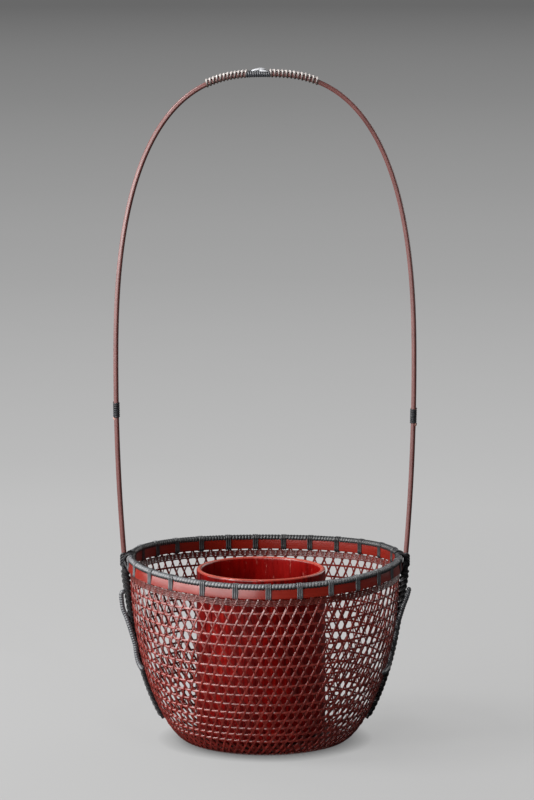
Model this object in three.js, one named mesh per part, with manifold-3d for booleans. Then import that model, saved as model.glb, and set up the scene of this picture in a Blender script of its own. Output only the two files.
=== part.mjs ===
// A tall-handled flower basket in open hexagonal bamboo weave, with a lacquered bamboo tube for
// water standing loose inside it. Millimetres, +Z up. The origin lies on the floor under the middle
// of the body, the handle spans X, and -Y is the front.

import * as THREE from "three";
import { mergeVertices } from "three/addons/utils/BufferGeometryUtils.js";
import Module from "manifold-3d";

const wasm = await Module();
wasm.setup();

// Driving dimensions: fits
const CLEARANCE = 0.3; // left between pieces that touch

// Driving dimensions: woven body
const BASE_RADIUS = 67.5; // where the wall leaves the base
const BASE_SWELL = 17; // how far the wall runs outwards before it rises
const RIM_RADIUS = 117.2; // middle of the rim
const WALL_FOOT = 2.4; // height of the wall's middle where it leaves the base
const WALL_TOP = 151; // floor to the underside of the rim bands, at the handle sides
const RIM_STRAIGHT = 83; // length of the upright tangent below the rim
const SETTLE = 0.03; // share of its height that the body loses at the front and back
const STRIP_COUNT = 80; // strips that lean one way
const STRIP_WIDTH = 1.7;
const STRIP_THICKNESS = 0.6;
const HOOP_COUNT = 15;
const HOOP_WIDTH = 1.8;
const LOWEST_HOOP = 17; // height of the lowest hoop
const FIRST_ROW = 7; // from the twined ends down to the highest hoop
const TWINING_HEIGHT = 6; // band of twined strip ends under the rim

// Driving dimensions: base
const FOOT_WIDTH = 8;
const FOOT_HEIGHT = 1.3;
const MAT_HEIGHT = 3.6; // floor to the middle of the mat
const MAT_THICKNESS = 1.2;
const MAT_HOLE_PITCH = 27;
const MAT_STRAND = 6; // solid left between two holes of the mat
const BATTEN_WIDTH = 9;
const BATTEN_SPACING = 30;

// Driving dimensions: rim
const BAND_HEIGHT = 10;
const BAND_THICKNESS = 1.5;
const CLAMP_GAP = 1.6; // between the inner and the outer band
const CORE_WIDTH = 2.8;
const CORE_HEIGHT = 2.6;
const WRAP_THICKNESS = 0.8;
const WRAP_CROWN = 2.2; // rise of the wrap's round back over its shoulders
const WRAP_LAP = 1.2; // how far the wrap reaches down over the bands
const BINDING_COUNT = 27;
const BINDING_WIDTH = 5;
const BINDING_START = THREE.MathUtils.degToRad(-1.5); // azimuth of the first binding from the front
const BINDING_DRIFT = THREE.MathUtils.degToRad(2.2); // how far bindings wander, once round the rim
const BINDING_PHASE = 0.72; // where that wander starts
const BINDING_SWAY = THREE.MathUtils.degToRad(1.3); // a smaller wander, twice round the rim

// Driving dimensions: handle
const ROD_DIAMETER = 4.4;
const HANDLE_HALF_SPAN = 129.3; // at the spring line, to the middle of the rod
const SPRING_HEIGHT = 322; // where the arch begins
const HANDLE_HEIGHT = 583; // to the middle of the rod at the crown
const ARCH_POWER = 2.6; // superellipse exponent of the arch
const LEFT_JOINT_HEIGHT = 291.5;
const RIGHT_JOINT_HEIGHT = 286;
const SCARF_LENGTH = 13;
const JOINT_TURNS = 5;
const RATTAN_THICKNESS = 0.8;
const JOINT_RATTAN_WIDTH = 2.1;

// Driving dimensions: grip
const GRIP_LENGTH = 98;
const GRIP_MIDDLE = -2.7; // from the crown of the arch to the middle of the grip
const KNOT_PLACE = -5.3; // from the crown of the arch to the knot
const GRIP_TURNS = 11; // on each side of the knot
const GRIP_RATTAN_WIDTH = 1.7;
const SPINE_SIZE = 1; // square strip along the top of the rod
const SPINE_LENGTH = 94;
const KNOT_BINDING_LENGTH = 15;
const KNOT_BINDING_TURNS = 6;
const KNOT_RATTAN_WIDTH = 1.9;
const KNOT_LENGTH = 14;
const KNOT_WIDTH = 5;
const KNOT_THICKNESS = 2.6;

// Driving dimensions: ribs, ears and lashings at the two sides
const RIB_THICKNESS = 2.6; // the handle's legs are shaved flat below the rim
const RIB_END = 21; // wall height at which a rib ends
const RIB_LASHING_TOP = 142;
const RIB_LASHING_BOTTOM = 24;
const RIB_TURNS = 8;
const RIB_RATTAN_WIDTH = 2.4;
const EAR_DIAMETER = 3.8;
const EAR_TOP = 131;
const EAR_BOTTOM = 65;
const EAR_BOW = 0.8; // how far the ear stands off the rib at its top
const EAR_SWEEP = 8; // how far in front of the rib the ear runs down
const EAR_TURN = 0.2; // share of the ear's height at which it starts to close in on the wall
const EAR_CROSSED = 0.35; // share at which it has passed the rib
const EAR_CLOSED = 0.6; // share at which it lies on the wall
const EAR_KNEE = 0.84; // share at which its tail turns forwards
const EAR_TAIL = 16; // how much further forwards the tail ends
const RIM_LASHING_HEIGHT = 14;
const RIM_LASHING_RISE = 2; // how far the lashing stands above the wrap
const LASHING_THICKNESS = 1;

// Driving dimensions: water tube
const TUBE_RADIUS = 56;
const TUBE_WALL = 4.6;
const TUBE_TOP = 151;
const TUBE_FLOOR = 8;
const TUBE_EDGE = 1.8; // rounding of the lip
const TUBE_PLACE = -3.6; // the tube stands a little left of the body's middle

// How finely round forms are faceted
const WALL_SAMPLES = 400;
const HOOP_SEGMENTS = 26;
const STRIP_STEPS = 4;
const STATION_POWER = 1.25; // gathers a strip's steps towards the curve at the base
const FOOT_SEGMENTS = 32;
const MAT_SEGMENTS = 32;
const TUBE_SEGMENTS = 32;
const LIP_STEPS = 4;
const ROD_SIDES = 6;
const ARCH_STEPS = 54;
const ARCH_POINTS = 24;
const ARCH_LEG_POINTS = 3;
const LEG_POINTS = 8;
const LEG_ROWS = 20;
const BISECTIONS = 30;
const TURN_STEPS = 8;
const LASHING_STEPS = 4;
const SPINE_STEPS = 12;
const EAR_POINTS = 16;
const EAR_STEPS = 18;
const EAR_SIDES = 6;
const KNOT_SEGMENTS = 10;
const KNOT_RINGS = 6;

// Finishes
const finish = (color, roughness) => new THREE.MeshStandardMaterial({ color, roughness, metalness: 0 });
const STRIP_FINISH = finish(0x6b322c, 0.5);
const BAND_FINISH = finish(0x8a3a30, 0.4);
const ROD_FINISH = finish(0x75453f, 0.4);
const RATTAN_FINISH = finish(0x3a3c40, 0.45);
const KNOT_FINISH = finish(0xc39b86, 0.3);
const LACQUER_FINISH = finish(0x8f0f0b, 0.2);

const basket = new THREE.Group();

function add(name, geometry, material) {
  const mesh = new THREE.Mesh(geometry, material);
  mesh.name = name;
  basket.add(mesh);
  return mesh;
}

// Solids from points and triangles

// A closed solid, with its triangles turned so that they face outwards.
function solid(points, triangles) {
  const volume = triangles.reduce(
    (sum, [a, b, c]) => sum + points[a].dot(new THREE.Vector3().crossVectors(points[b], points[c])),
    0,
  );
  const facing = volume < 0 ? triangles.map(([a, b, c]) => [a, c, b]) : triangles;
  return new THREE.BufferGeometry().setFromPoints(points).setIndex(facing.flat());
}

const quad = (a, b, c, d) => [[a, b, c], [a, c, d]];

// Rows of points, each a closed polygon, joined into a skin. Unless they close into a ring, the first
// and last polygons become end caps.
function loft(rows, isRing) {
  const corners = rows[0].length;
  const index = (row, corner) => (row % rows.length) * corners + (corner % corners);
  const triangles = [];
  const lastRow = isRing ? rows.length : rows.length - 1;
  for (let row = 0; row < lastRow; row++) {
    for (let corner = 0; corner < corners; corner++) {
      triangles.push(
        ...quad(
          index(row, corner),
          index(row, corner + 1),
          index(row + 1, corner + 1),
          index(row + 1, corner),
        ),
      );
    }
  }
  for (let corner = 1; !isRing && corner < corners - 1; corner++) {
    triangles.push([index(0, 0), index(0, corner + 1), index(0, corner)]);
    triangles.push([index(lastRow, 0), index(lastRow, corner), index(lastRow, corner + 1)]);
  }
  return solid(rows.flat(), triangles);
}

// A point of the body at a radius, an azimuth and a height. The body stands a little lower at the
// front and the back than at the handle sides.
function bodyPoint(radius, azimuth, height) {
  const settled = height * (1 - SETTLE * Math.sin(azimuth) ** 2);
  return new THREE.Vector3(radius * Math.cos(azimuth), radius * Math.sin(azimuth), settled);
}

const evenly = (count) => Array.from({ length: count }, (_, k) => (2 * Math.PI * k) / count);
const polar = (radius, turn) => new THREE.Vector2(radius * Math.cos(turn), radius * Math.sin(turn));

// A section of [radius, height] corners carried round the body, with a bend at each azimuth.
function bodyRing(section, azimuths) {
  const rows = azimuths.map((azimuth) =>
    section.map(([radius, height]) => bodyPoint(radius, azimuth, height)),
  );
  return loft(rows, true);
}

const rectangle = (inner, outer, bottom, top) => [
  [inner, bottom],
  [outer, bottom],
  [outer, top],
  [inner, top],
];

// Depth of a chord that spans an angle of a circle.
const sagitta = (radius, angle) => radius * (1 - Math.cos(angle / 2));

function manifoldOf(geometry) {
  const bare = geometry.clone();
  bare.deleteAttribute("normal");
  bare.deleteAttribute("uv");
  const merged = mergeVertices(bare, 1e-4);
  return new wasm.Manifold(
    new wasm.Mesh({
      numProp: 3,
      vertProperties: merged.getAttribute("position").array,
      triVerts: new Uint32Array(merged.index.array),
    }),
  );
}

function geometryOf(manifold) {
  const mesh = manifold.getMesh();
  return new THREE.BufferGeometry()
    .setAttribute("position", new THREE.BufferAttribute(mesh.vertProperties, 3))
    .setIndex(new THREE.BufferAttribute(mesh.triVerts, 1));
}

// Wall of the body: a curve of radius against height. Climb is the way up the wall with each bit of
// it divided by its radius, so a weave that is even in climb and azimuth keeps its angles all the way.

const wallCurve = new THREE.CubicBezierCurve(
  new THREE.Vector2(BASE_RADIUS, WALL_FOOT),
  new THREE.Vector2(BASE_RADIUS + BASE_SWELL, WALL_FOOT),
  new THREE.Vector2(RIM_RADIUS, WALL_TOP - RIM_STRAIGHT),
  new THREE.Vector2(RIM_RADIUS, WALL_TOP),
);

// Samples of the wall, each with its outward normal as (out, up).
function sampleWall() {
  const samples = [];
  let climb = 0;
  let last = wallCurve.getPoint(0);
  for (let k = 0; k <= WALL_SAMPLES; k++) {
    const point = wallCurve.getPoint(k / WALL_SAMPLES);
    const tangent = wallCurve.getTangent(k / WALL_SAMPLES);
    climb += (2 * point.distanceTo(last)) / (point.x + last.x);
    samples.push({ climb, radius: point.x, height: point.y, out: tangent.y, up: -tangent.x });
    last = point;
  }
  return samples;
}

// A list of samples read between two of its entries, by a value that rises along the list.
function sampleAt(samples, key, value) {
  const last = samples.length - 1;
  const next = samples.findIndex((sample, k) => k > 0 && (sample[key] >= value || k === last));
  const before = samples[next - 1];
  const after = samples[next];
  const share = (value - before[key]) / (after[key] - before[key]);
  const mixed = {};
  for (const name of Object.keys(before)) {
    mixed[name] = THREE.MathUtils.lerp(before[name], after[name], share);
  }
  return mixed;
}

const wall = sampleWall();
const climbAt = (height) => sampleAt(wall, "height", height).climb;

// Layout of the weave: hoops even in climb, and strips that move half a pitch sideways per hoop, so
// that the two layers always cross half way between two hoops.
const stripTop = WALL_TOP - TWINING_HEIGHT;
const climbTop = climbAt(stripTop);
const highestHoopClimb = climbAt(stripTop - FIRST_ROW);
const lowestHoopClimb = climbAt(LOWEST_HOOP);
const hoopClimbStep = (highestHoopClimb - lowestHoopClimb) / (HOOP_COUNT - 1);
const stripPitch = (2 * Math.PI) / STRIP_COUNT;
const lean = stripPitch / 2 / hoopClimbStep;
const crossingClimb = highestHoopClimb + hoopClimbStep / 2;

// Strips bend only at these stations, from the base to the twined ends, and the hoops lie on the
// same chords.
const stations = Array.from({ length: STRIP_STEPS + 1 }, (_, k) =>
  sampleAt(wall, "climb", climbTop * (k / STRIP_STEPS) ** STATION_POWER),
);
const longestStep = climbTop - stations[STRIP_STEPS - 1].climb;

// Distances of the two layers of strips from the hoops between them.
const outerLayer = STRIP_THICKNESS + CLEARANCE + sagitta(RIM_RADIUS, lean * longestStep);
const innerLayer = -(STRIP_THICKNESS + CLEARANCE + sagitta(RIM_RADIUS, (2 * Math.PI) / HOOP_SEGMENTS));
const wallOutside = outerLayer + STRIP_THICKNESS / 2;

// A layer of strips that all lean one way. Each grows out of the band of twined ends at its top.
function stripLayer(direction, layer) {
  const faces = [layer + STRIP_THICKNESS / 2, layer - STRIP_THICKNESS / 2];
  const levelWidth = STRIP_WIDTH * Math.hypot(1, lean);
  const points = [];
  const triangles = [];
  const put = (azimuth, sample, face, height) => {
    const settled = height ?? sample.height + face * sample.up;
    return points.push(bodyPoint(sample.radius + face * sample.out, azimuth, settled)) - 1;
  };

  const middleOf = (k, sample) => k * stripPitch + direction * lean * (sample.climb - crossingClimb);

  const downwards = [...stations].reverse();
  const strips = Array.from({ length: STRIP_COUNT }, (_, k) => {
    const rows = downwards.map((sample) => {
      const middle = middleOf(k, sample);
      const half = levelWidth / 2 / sample.radius;
      const [outer, inner] = faces;
      return [
        put(middle - half, sample, outer),
        put(middle + half, sample, outer),
        put(middle + half, sample, inner),
        put(middle - half, sample, inner),
      ];
    });
    const crown = downwards[0];
    const crownAzimuth = middleOf(k, crown) - levelWidth / 2 / crown.radius;
    const top = faces.map((face) => put(crownAzimuth, crown, face, WALL_TOP - CLEARANCE));
    return { rows, top };
  });

  strips.forEach(({ rows, top }, k) => {
    const next = strips[(k + 1) % STRIP_COUNT];
    const [outerLeft, outerRight, innerRight, innerLeft] = rows[0];
    const [nextOuter, , , nextInner] = next.rows[0];
    triangles.push([top[0], outerLeft, outerRight]);
    triangles.push([top[0], outerRight, next.top[0]]);
    triangles.push([next.top[0], outerRight, nextOuter]);
    triangles.push([top[1], innerRight, innerLeft]);
    triangles.push([top[1], next.top[1], innerRight]);
    triangles.push([next.top[1], nextInner, innerRight]);
    triangles.push(...quad(top[0], next.top[0], next.top[1], top[1]));
    triangles.push(...quad(outerRight, innerRight, nextInner, nextOuter));
    for (let row = 0; row < STRIP_STEPS; row++) {
      for (let corner = 0; corner < 4; corner++) {
        const beside = (corner + 1) % 4;
        const upper = rows[row];
        const lower = rows[row + 1];
        triangles.push(...quad(upper[corner], lower[corner], lower[beside], upper[beside]));
      }
    }
    const end = rows[STRIP_STEPS];
    triangles.push(...quad(end[0], end[3], end[2], end[1]));
  });
  return solid(points, triangles);
}

// A hoop's flat section, turned to lie along the wall.
function hoopSection(climb) {
  const { radius, height, out, up } = sampleAt(stations, "climb", climb);
  const across = STRIP_THICKNESS / 2;
  const along = HOOP_WIDTH / 2;
  const corners = [
    [-across, -along],
    [across, -along],
    [across, along],
    [-across, along],
  ];
  return corners.map(([n, t]) => [radius + n * out - t * up, height + n * up + t * out]);
}

add("right_leaning_strips", stripLayer(1, outerLayer), STRIP_FINISH);
add("left_leaning_strips", stripLayer(-1, innerLayer), STRIP_FINISH);
for (let k = 0; k < HOOP_COUNT; k++) {
  const climb = highestHoopClimb - k * hoopClimbStep;
  const number = String(k + 1).padStart(2, "0");
  add(`weave_hoop_${number}`, bodyRing(hoopSection(climb), evenly(HOOP_SEGMENTS)), STRIP_FINISH);
}

// Base: a foot hoop on the floor inside the foot of the wall, battens across it, and the open mat that
// they carry.

const matBottom = MAT_HEIGHT - MAT_THICKNESS / 2;
const matTop = MAT_HEIGHT + MAT_THICKNESS / 2;
const matRadius = BASE_RADIUS - CLEARANCE;

// Holes of the base mat: a hexagonal lattice that keeps a solid margin inside the edge.
function matShape() {
  const shape = new THREE.Shape().absarc(0, 0, matRadius, 0, 2 * Math.PI);
  const holeRadius = (MAT_HOLE_PITCH - MAT_STRAND) / Math.sqrt(3);
  const reach = Math.ceil(matRadius / MAT_HOLE_PITCH) + 1;
  for (let row = -reach; row <= reach; row++) {
    for (let column = -reach; column <= reach; column++) {
      const x = (column + row / 2) * MAT_HOLE_PITCH;
      const y = row * MAT_HOLE_PITCH * Math.sin(Math.PI / 3);
      if (Math.hypot(x, y) + holeRadius + MAT_STRAND > matRadius) continue;
      const middle = new THREE.Vector2(x, y);
      const corners = evenly(6).map((turn) => polar(holeRadius, turn + Math.PI / 6).add(middle));
      shape.holes.push(new THREE.Path(corners));
    }
  }
  return shape;
}

const mat = new THREE.ExtrudeGeometry(matShape(), {
  depth: MAT_THICKNESS,
  bevelEnabled: false,
  curveSegments: MAT_SEGMENTS,
});
mat.translate(0, 0, matBottom);
add("base_mat", mat, STRIP_FINISH);

const footSection = rectangle(matRadius - FOOT_WIDTH, matRadius, 0, FOOT_HEIGHT);
add("foot_hoop", bodyRing(footSection, evenly(FOOT_SEGMENTS)), STRIP_FINISH);

const battenBottom = FOOT_HEIGHT + CLEARANCE;
const battenTop = matBottom - CLEARANCE;
for (const [name, step] of [["front", -1], ["middle", 0], ["back", 1]]) {
  const edge = BATTEN_SPACING * Math.abs(step) + BATTEN_WIDTH / 2;
  const length = 2 * Math.sqrt((matRadius * Math.cos(Math.PI / MAT_SEGMENTS)) ** 2 - edge ** 2);
  const batten = new THREE.BoxGeometry(length, BATTEN_WIDTH, battenTop - battenBottom);
  batten.translate(0, BATTEN_SPACING * step, (battenTop + battenBottom) / 2);
  add(`${name}_batten`, batten, BAND_FINISH);
}

// Rim: two bands, a core hoop on top of them, and a rattan wrap whose bindings go down over both.

const bandTop = WALL_TOP + BAND_HEIGHT;
const stackHalf = CLAMP_GAP / 2 + BAND_THICKNESS;
const wrapInner = stackHalf + CLEARANCE;
const wrapOuter = wrapInner + WRAP_THICKNESS;
const coreTop = bandTop + CLEARANCE + CORE_HEIGHT;
const wrapCeiling = coreTop + CLEARANCE;
const wrapTop = wrapCeiling + WRAP_THICKNESS;
const wrapFoot = bandTop - WRAP_LAP;

// Every rim ring bends at both edges of each binding. The bindings are spaced by eye, a little unevenly.
const bindingHalf = BINDING_WIDTH / 2 / RIM_RADIUS;
const rimAzimuths = evenly(BINDING_COUNT).flatMap((turn) => {
  const wander = BINDING_DRIFT * Math.sin(turn + BINDING_PHASE) + BINDING_SWAY * Math.cos(2 * turn);
  const middle = BINDING_START + turn + wander - Math.PI / 2;
  return [middle - bindingHalf, middle + bindingHalf];
});

const rimBand = (inner) => rectangle(inner, inner + BAND_THICKNESS, WALL_TOP, bandTop);
add("inner_rim_band", bodyRing(rimBand(RIM_RADIUS - stackHalf), rimAzimuths), BAND_FINISH);
add("outer_rim_band", bodyRing(rimBand(RIM_RADIUS + CLAMP_GAP / 2), rimAzimuths), BAND_FINISH);

const coreSection = rectangle(
  RIM_RADIUS - CORE_WIDTH / 2,
  RIM_RADIUS + CORE_WIDTH / 2,
  bandTop + CLEARANCE,
  coreTop,
);
add("rim_core", bodyRing(coreSection, rimAzimuths), BAND_FINISH);

// The wrap is a channel turned over the core. Its two feet grow into legs at each binding.
function rimWrap() {
  const section = [
    [-wrapInner, wrapFoot],
    [-wrapInner + WRAP_THICKNESS, wrapCeiling],
    [wrapInner - WRAP_THICKNESS, wrapCeiling],
    [wrapInner, wrapFoot],
    [wrapOuter, wrapFoot],
    [wrapOuter, wrapTop - WRAP_CROWN],
    [wrapOuter / 2, wrapTop],
    [-wrapOuter / 2, wrapTop],
    [-wrapOuter, wrapTop - WRAP_CROWN],
    [-wrapOuter, wrapFoot],
  ];
  const outerFoot = 3;
  const innerFoot = section.length - 1;
  const points = [];
  const triangles = [];
  const put = (across, azimuth, height) => points.push(bodyPoint(RIM_RADIUS + across, azimuth, height)) - 1;
  const rows = rimAzimuths.map((azimuth) =>
    section.map(([across, height]) => put(across, azimuth, height)),
  );

  rows.forEach((row, k) => {
    const next = rows[(k + 1) % rows.length];
    const isBinding = k % 2 === 0;
    section.forEach((_, corner) => {
      const beside = (corner + 1) % section.length;
      const from = [row[corner], row[beside], next[beside], next[corner]];
      if (!isBinding || (corner !== outerFoot && corner !== innerFoot)) {
        triangles.push(...quad(...from));
        return;
      }
      const ends = [
        [corner, k],
        [beside, k],
        [beside, (k + 1) % rows.length],
        [corner, (k + 1) % rows.length],
      ].map(([place, station]) => put(section[place][0], rimAzimuths[station], WALL_TOP));
      from.forEach((upper, side) => {
        const around = (side + 1) % 4;
        triangles.push(...quad(upper, from[around], ends[around], ends[side]));
      });
      triangles.push(...quad(...ends));
    });
  });
  return solid(points, triangles);
}

add("rim_wrap", rimWrap(), RATTAN_FINISH);

// Handle: an arch with a leg spliced to each end. A leg lies against the body below the rim.

const SIDES = [
  { name: "left", side: -1, joint: LEFT_JOINT_HEIGHT },
  { name: "right", side: 1, joint: RIGHT_JOINT_HEIGHT },
];
const rodRadius = ROD_DIAMETER / 2;
const rodReach = rodRadius + CLEARANCE;
const rimReach = RIM_RADIUS + wrapOuter + rodReach;
const ribStandoff = wallOutside + CLEARANCE + windingReach(RIB_THICKNESS / 2);
const archBottom = Math.min(LEFT_JOINT_HEIGHT, RIGHT_JOINT_HEIGHT) - SCARF_LENGTH;

// Outer reach of the rattan that is wound in straight steps round a section of this reach.
function windingReach(reach) {
  return windingMiddle(reach) + RATTAN_THICKNESS / 2;
}

function windingMiddle(reach) {
  return (reach + CLEARANCE + RATTAN_THICKNESS / 2) / Math.cos(Math.PI / TURN_STEPS);
}

// Half of the handle's width at a height between the rim and the spring line.
function legReach(height) {
  const drop = (SPRING_HEIGHT - height) / (SPRING_HEIGHT - wrapTop);
  return HANDLE_HALF_SPAN - (HANDLE_HALF_SPAN - rimReach) * drop ** 2;
}

function archLine() {
  const points = [];
  const legStep = (SPRING_HEIGHT - archBottom) / ARCH_LEG_POINTS;
  for (let k = 0; k < ARCH_LEG_POINTS; k++) {
    const height = archBottom + k * legStep;
    points.push(new THREE.Vector3(-legReach(height), 0, height));
  }
  for (let k = 0; k <= ARCH_POINTS; k++) {
    const turn = Math.PI * (1 - k / ARCH_POINTS);
    const across = Math.sign(Math.cos(turn)) * Math.abs(Math.cos(turn)) ** (2 / ARCH_POWER);
    const rise = Math.sin(turn) ** (2 / ARCH_POWER);
    const height = SPRING_HEIGHT + (HANDLE_HEIGHT - SPRING_HEIGHT) * rise;
    points.push(new THREE.Vector3(HANDLE_HALF_SPAN * across, 0, height));
  }
  for (let k = ARCH_LEG_POINTS - 1; k >= 0; k--) {
    const height = archBottom + k * legStep;
    points.push(new THREE.Vector3(legReach(height), 0, height));
  }
  return new THREE.CatmullRomCurve3(points);
}

// From the spring line down past the rim and along the outside of the wall.
function legLine(side) {
  const points = [];
  for (let k = 0; k <= LEG_POINTS; k++) {
    const height = THREE.MathUtils.lerp(SPRING_HEIGHT, wrapTop, k / LEG_POINTS);
    points.push(new THREE.Vector3(side * legReach(height), 0, height));
  }
  for (let k = 1; k <= LEG_POINTS; k++) {
    const height = THREE.MathUtils.lerp(wrapTop, RIB_END, k / LEG_POINTS);
    if (height > stripTop) continue;
    const { radius, out, up } = sampleAt(wall, "height", height);
    points.push(new THREE.Vector3(side * (radius + ribStandoff * out), 0, height + ribStandoff * up));
  }
  return new THREE.CatmullRomCurve3(points);
}

// Point, direction, outward and sideways axes of a line that lies in the XZ plane.
function frameAt(line, share, side) {
  const along = line.getTangentAt(share);
  const across = new THREE.Vector3(0, 1, 0);
  const out = new THREE.Vector3().crossVectors(along, across).multiplyScalar(side);
  return { point: line.getPointAt(share), along, across, out };
}

// Share of a falling line's length at which it passes a height.
function shareAtHeight(line, height) {
  let above = 0;
  let below = 1;
  for (let k = 0; k < BISECTIONS; k++) {
    const middle = (above + below) / 2;
    if (line.getPointAt(middle).z > height) above = middle;
    else below = middle;
  }
  return above;
}

// Removes what lies on one side of a scarf cut: keep is 1 for the outer and upper piece, -1 for the other.
function scarfed(geometry, side, jointHeight, keep) {
  const run = Math.hypot(SCARF_LENGTH, ROD_DIAMETER);
  const normal = new THREE.Vector3((side * SCARF_LENGTH) / run, 0, ROD_DIAMETER / run);
  const joint = new THREE.Vector3(side * legReach(jointHeight), 0, jointHeight);
  const size = SPRING_HEIGHT - archBottom + SCARF_LENGTH;
  const cutter = new THREE.BoxGeometry(2 * size, 2 * size, size);
  cutter.applyQuaternion(new THREE.Quaternion().setFromUnitVectors(new THREE.Vector3(0, 0, 1), normal));
  const centre = joint.addScaledVector(normal, keep * (CLEARANCE / 2 - size / 2));
  cutter.translate(centre.x, centre.y, centre.z);
  return geometryOf(manifoldOf(geometry).subtract(manifoldOf(cutter)));
}

const circle = (radius, sides) => new THREE.Shape(evenly(sides).map((turn) => polar(radius, turn)));

const arch = archLine();
const archRod = new THREE.ExtrudeGeometry(circle(rodRadius, ROD_SIDES), {
  steps: ARCH_STEPS,
  bevelEnabled: false,
  extrudePath: arch,
});
const splicedArch = SIDES.reduce((rod, { side, joint }) => scarfed(rod, side, joint, 1), archRod);
add("handle_arch", splicedArch, ROD_FINISH);

// A leg: round above the rim, shaved to a flat rib where it lies on the wall.
function stem(line, side) {
  const rows = Array.from({ length: LEG_ROWS + 1 }, (_, k) => {
    const { point, across, out } = frameAt(line, k / LEG_ROWS, side);
    const flatness = THREE.MathUtils.smoothstep(wrapTop - point.z, 0, wrapTop - stripTop);
    const depth = THREE.MathUtils.lerp(rodRadius, RIB_THICKNESS / 2, flatness);
    return evenly(ROD_SIDES).map((turn) =>
      point
        .clone()
        .addScaledVector(out, depth * Math.cos(turn))
        .addScaledVector(across, rodRadius * Math.sin(turn)),
    );
  });
  return loft(rows, false);
}

// Rattan wound round a rod: a flat ribbon on a helix of straight steps. The section that it goes
// round reaches `out` and `across` from a middle that lies `shift` outside the rod's own.
function winding(name, line, side, span, turns, around, width) {
  const steps = Math.round(turns * TURN_STEPS);
  const rows = [];
  const middles = [];
  for (let k = 0; k <= steps; k++) {
    const turn = (2 * Math.PI * k) / TURN_STEPS;
    const { point, along, across, out } = frameAt(line, THREE.MathUtils.lerp(...span, k / steps), side);
    const radial = out.clone().multiplyScalar(Math.cos(turn)).addScaledVector(across, Math.sin(turn));
    const middle = point
      .addScaledVector(out, around.shift + windingMiddle(around.out) * Math.cos(turn))
      .addScaledVector(across, windingMiddle(around.across) * Math.sin(turn));
    middles.push(middle);
    const ribbon = [[-1, -1], [1, -1], [1, 1], [-1, 1]];
    rows.push(
      ribbon.map(([a, b]) =>
        middle
          .clone()
          .addScaledVector(along, (a * width) / 2)
          .addScaledVector(radial, (b * RATTAN_THICKNESS) / 2),
      ),
    );
  }
  rows.unshift(straightEnd(rows[0], middles[0], middles[1]));
  rows.push(straightEnd(rows[rows.length - 1], middles[steps], middles[steps - 1]));
  printLeastGap(name, middles, width);
  return loft(rows, false);
}

// The last section of a ribbon, carried straight on for the ribbon's own thickness.
function straightEnd(row, end, inside) {
  const onward = end.clone().sub(inside).setLength(RATTAN_THICKNESS);
  return row.map((corner) => corner.clone().add(onward));
}

// Least distance between two turns of a ribbon, less its width.
function printLeastGap(name, middles, width) {
  let least = Infinity;
  middles.forEach((middle, k) => {
    for (const other of middles.slice(k + TURN_STEPS / 2)) {
      least = Math.min(least, middle.distanceTo(other));
    }
  });
  console.log(`${name}: least gap between turns ${(least - width).toFixed(2)} mm`);
}

const rodSection = { out: rodRadius, across: rodRadius, shift: 0 };
const ribSection = { out: RIB_THICKNESS / 2, across: rodRadius, shift: 0 };

// A lashing that holds a leg against the rim: a channel round the leg, open towards the rim.
function rimLashing(side) {
  const inside = rodReach;
  const outside = inside + LASHING_THICKNESS;
  const back = CLEARANCE - rodReach;
  const arc = (radius) =>
    Array.from({ length: LASHING_STEPS + 1 }, (_, k) => polar(radius, Math.PI * (k / LASHING_STEPS - 0.5)));
  const outline = [
    new THREE.Vector2(back, -outside),
    ...arc(outside),
    new THREE.Vector2(back, outside),
    new THREE.Vector2(back, inside),
    ...arc(inside).reverse(),
    new THREE.Vector2(back, -inside),
  ];
  const lashing = new THREE.ExtrudeGeometry(new THREE.Shape(outline), {
    depth: RIM_LASHING_HEIGHT,
    bevelEnabled: false,
  });
  if (side < 0) lashing.rotateZ(Math.PI);
  lashing.translate(side * rimReach, 0, wrapTop + RIM_LASHING_RISE - RIM_LASHING_HEIGHT);
  return lashing;
}

// An ear: a rod that leaves the rib below the rim, bows outwards, comes down on the wall in front of the
// rib and ends in a tail that turns forwards.
function ear(side) {
  const overRib = ribStandoff + windingReach(RIB_THICKNESS / 2) + CLEARANCE + EAR_DIAMETER / 2;
  const onWall = wallOutside + CLEARANCE + EAR_DIAMETER / 2;
  const points = Array.from({ length: EAR_POINTS + 1 }, (_, k) => {
    const share = k / EAR_POINTS;
    const height = THREE.MathUtils.lerp(EAR_TOP, EAR_BOTTOM, share);
    const closed = THREE.MathUtils.smoothstep(share, EAR_TURN, EAR_CLOSED);
    const swept = EAR_SWEEP * THREE.MathUtils.smoothstep(share, 0, EAR_CROSSED);
    const forward = swept + EAR_TAIL * THREE.MathUtils.smoothstep(share, EAR_KNEE, 1);
    const bow = EAR_BOW * Math.sin(Math.PI * Math.min(1, share / EAR_TURN));
    const { radius, out, up } = sampleAt(wall, "height", height);
    const standoff = THREE.MathUtils.lerp(overRib + bow, onWall, closed);
    const reach = Math.sqrt((radius + standoff * out) ** 2 - forward ** 2);
    return new THREE.Vector3(side * reach, -forward, height + standoff * up);
  });
  return new THREE.ExtrudeGeometry(circle(EAR_DIAMETER / 2, EAR_SIDES), {
    steps: EAR_STEPS,
    bevelEnabled: false,
    extrudePath: new THREE.CatmullRomCurve3(points),
  });
}

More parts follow.
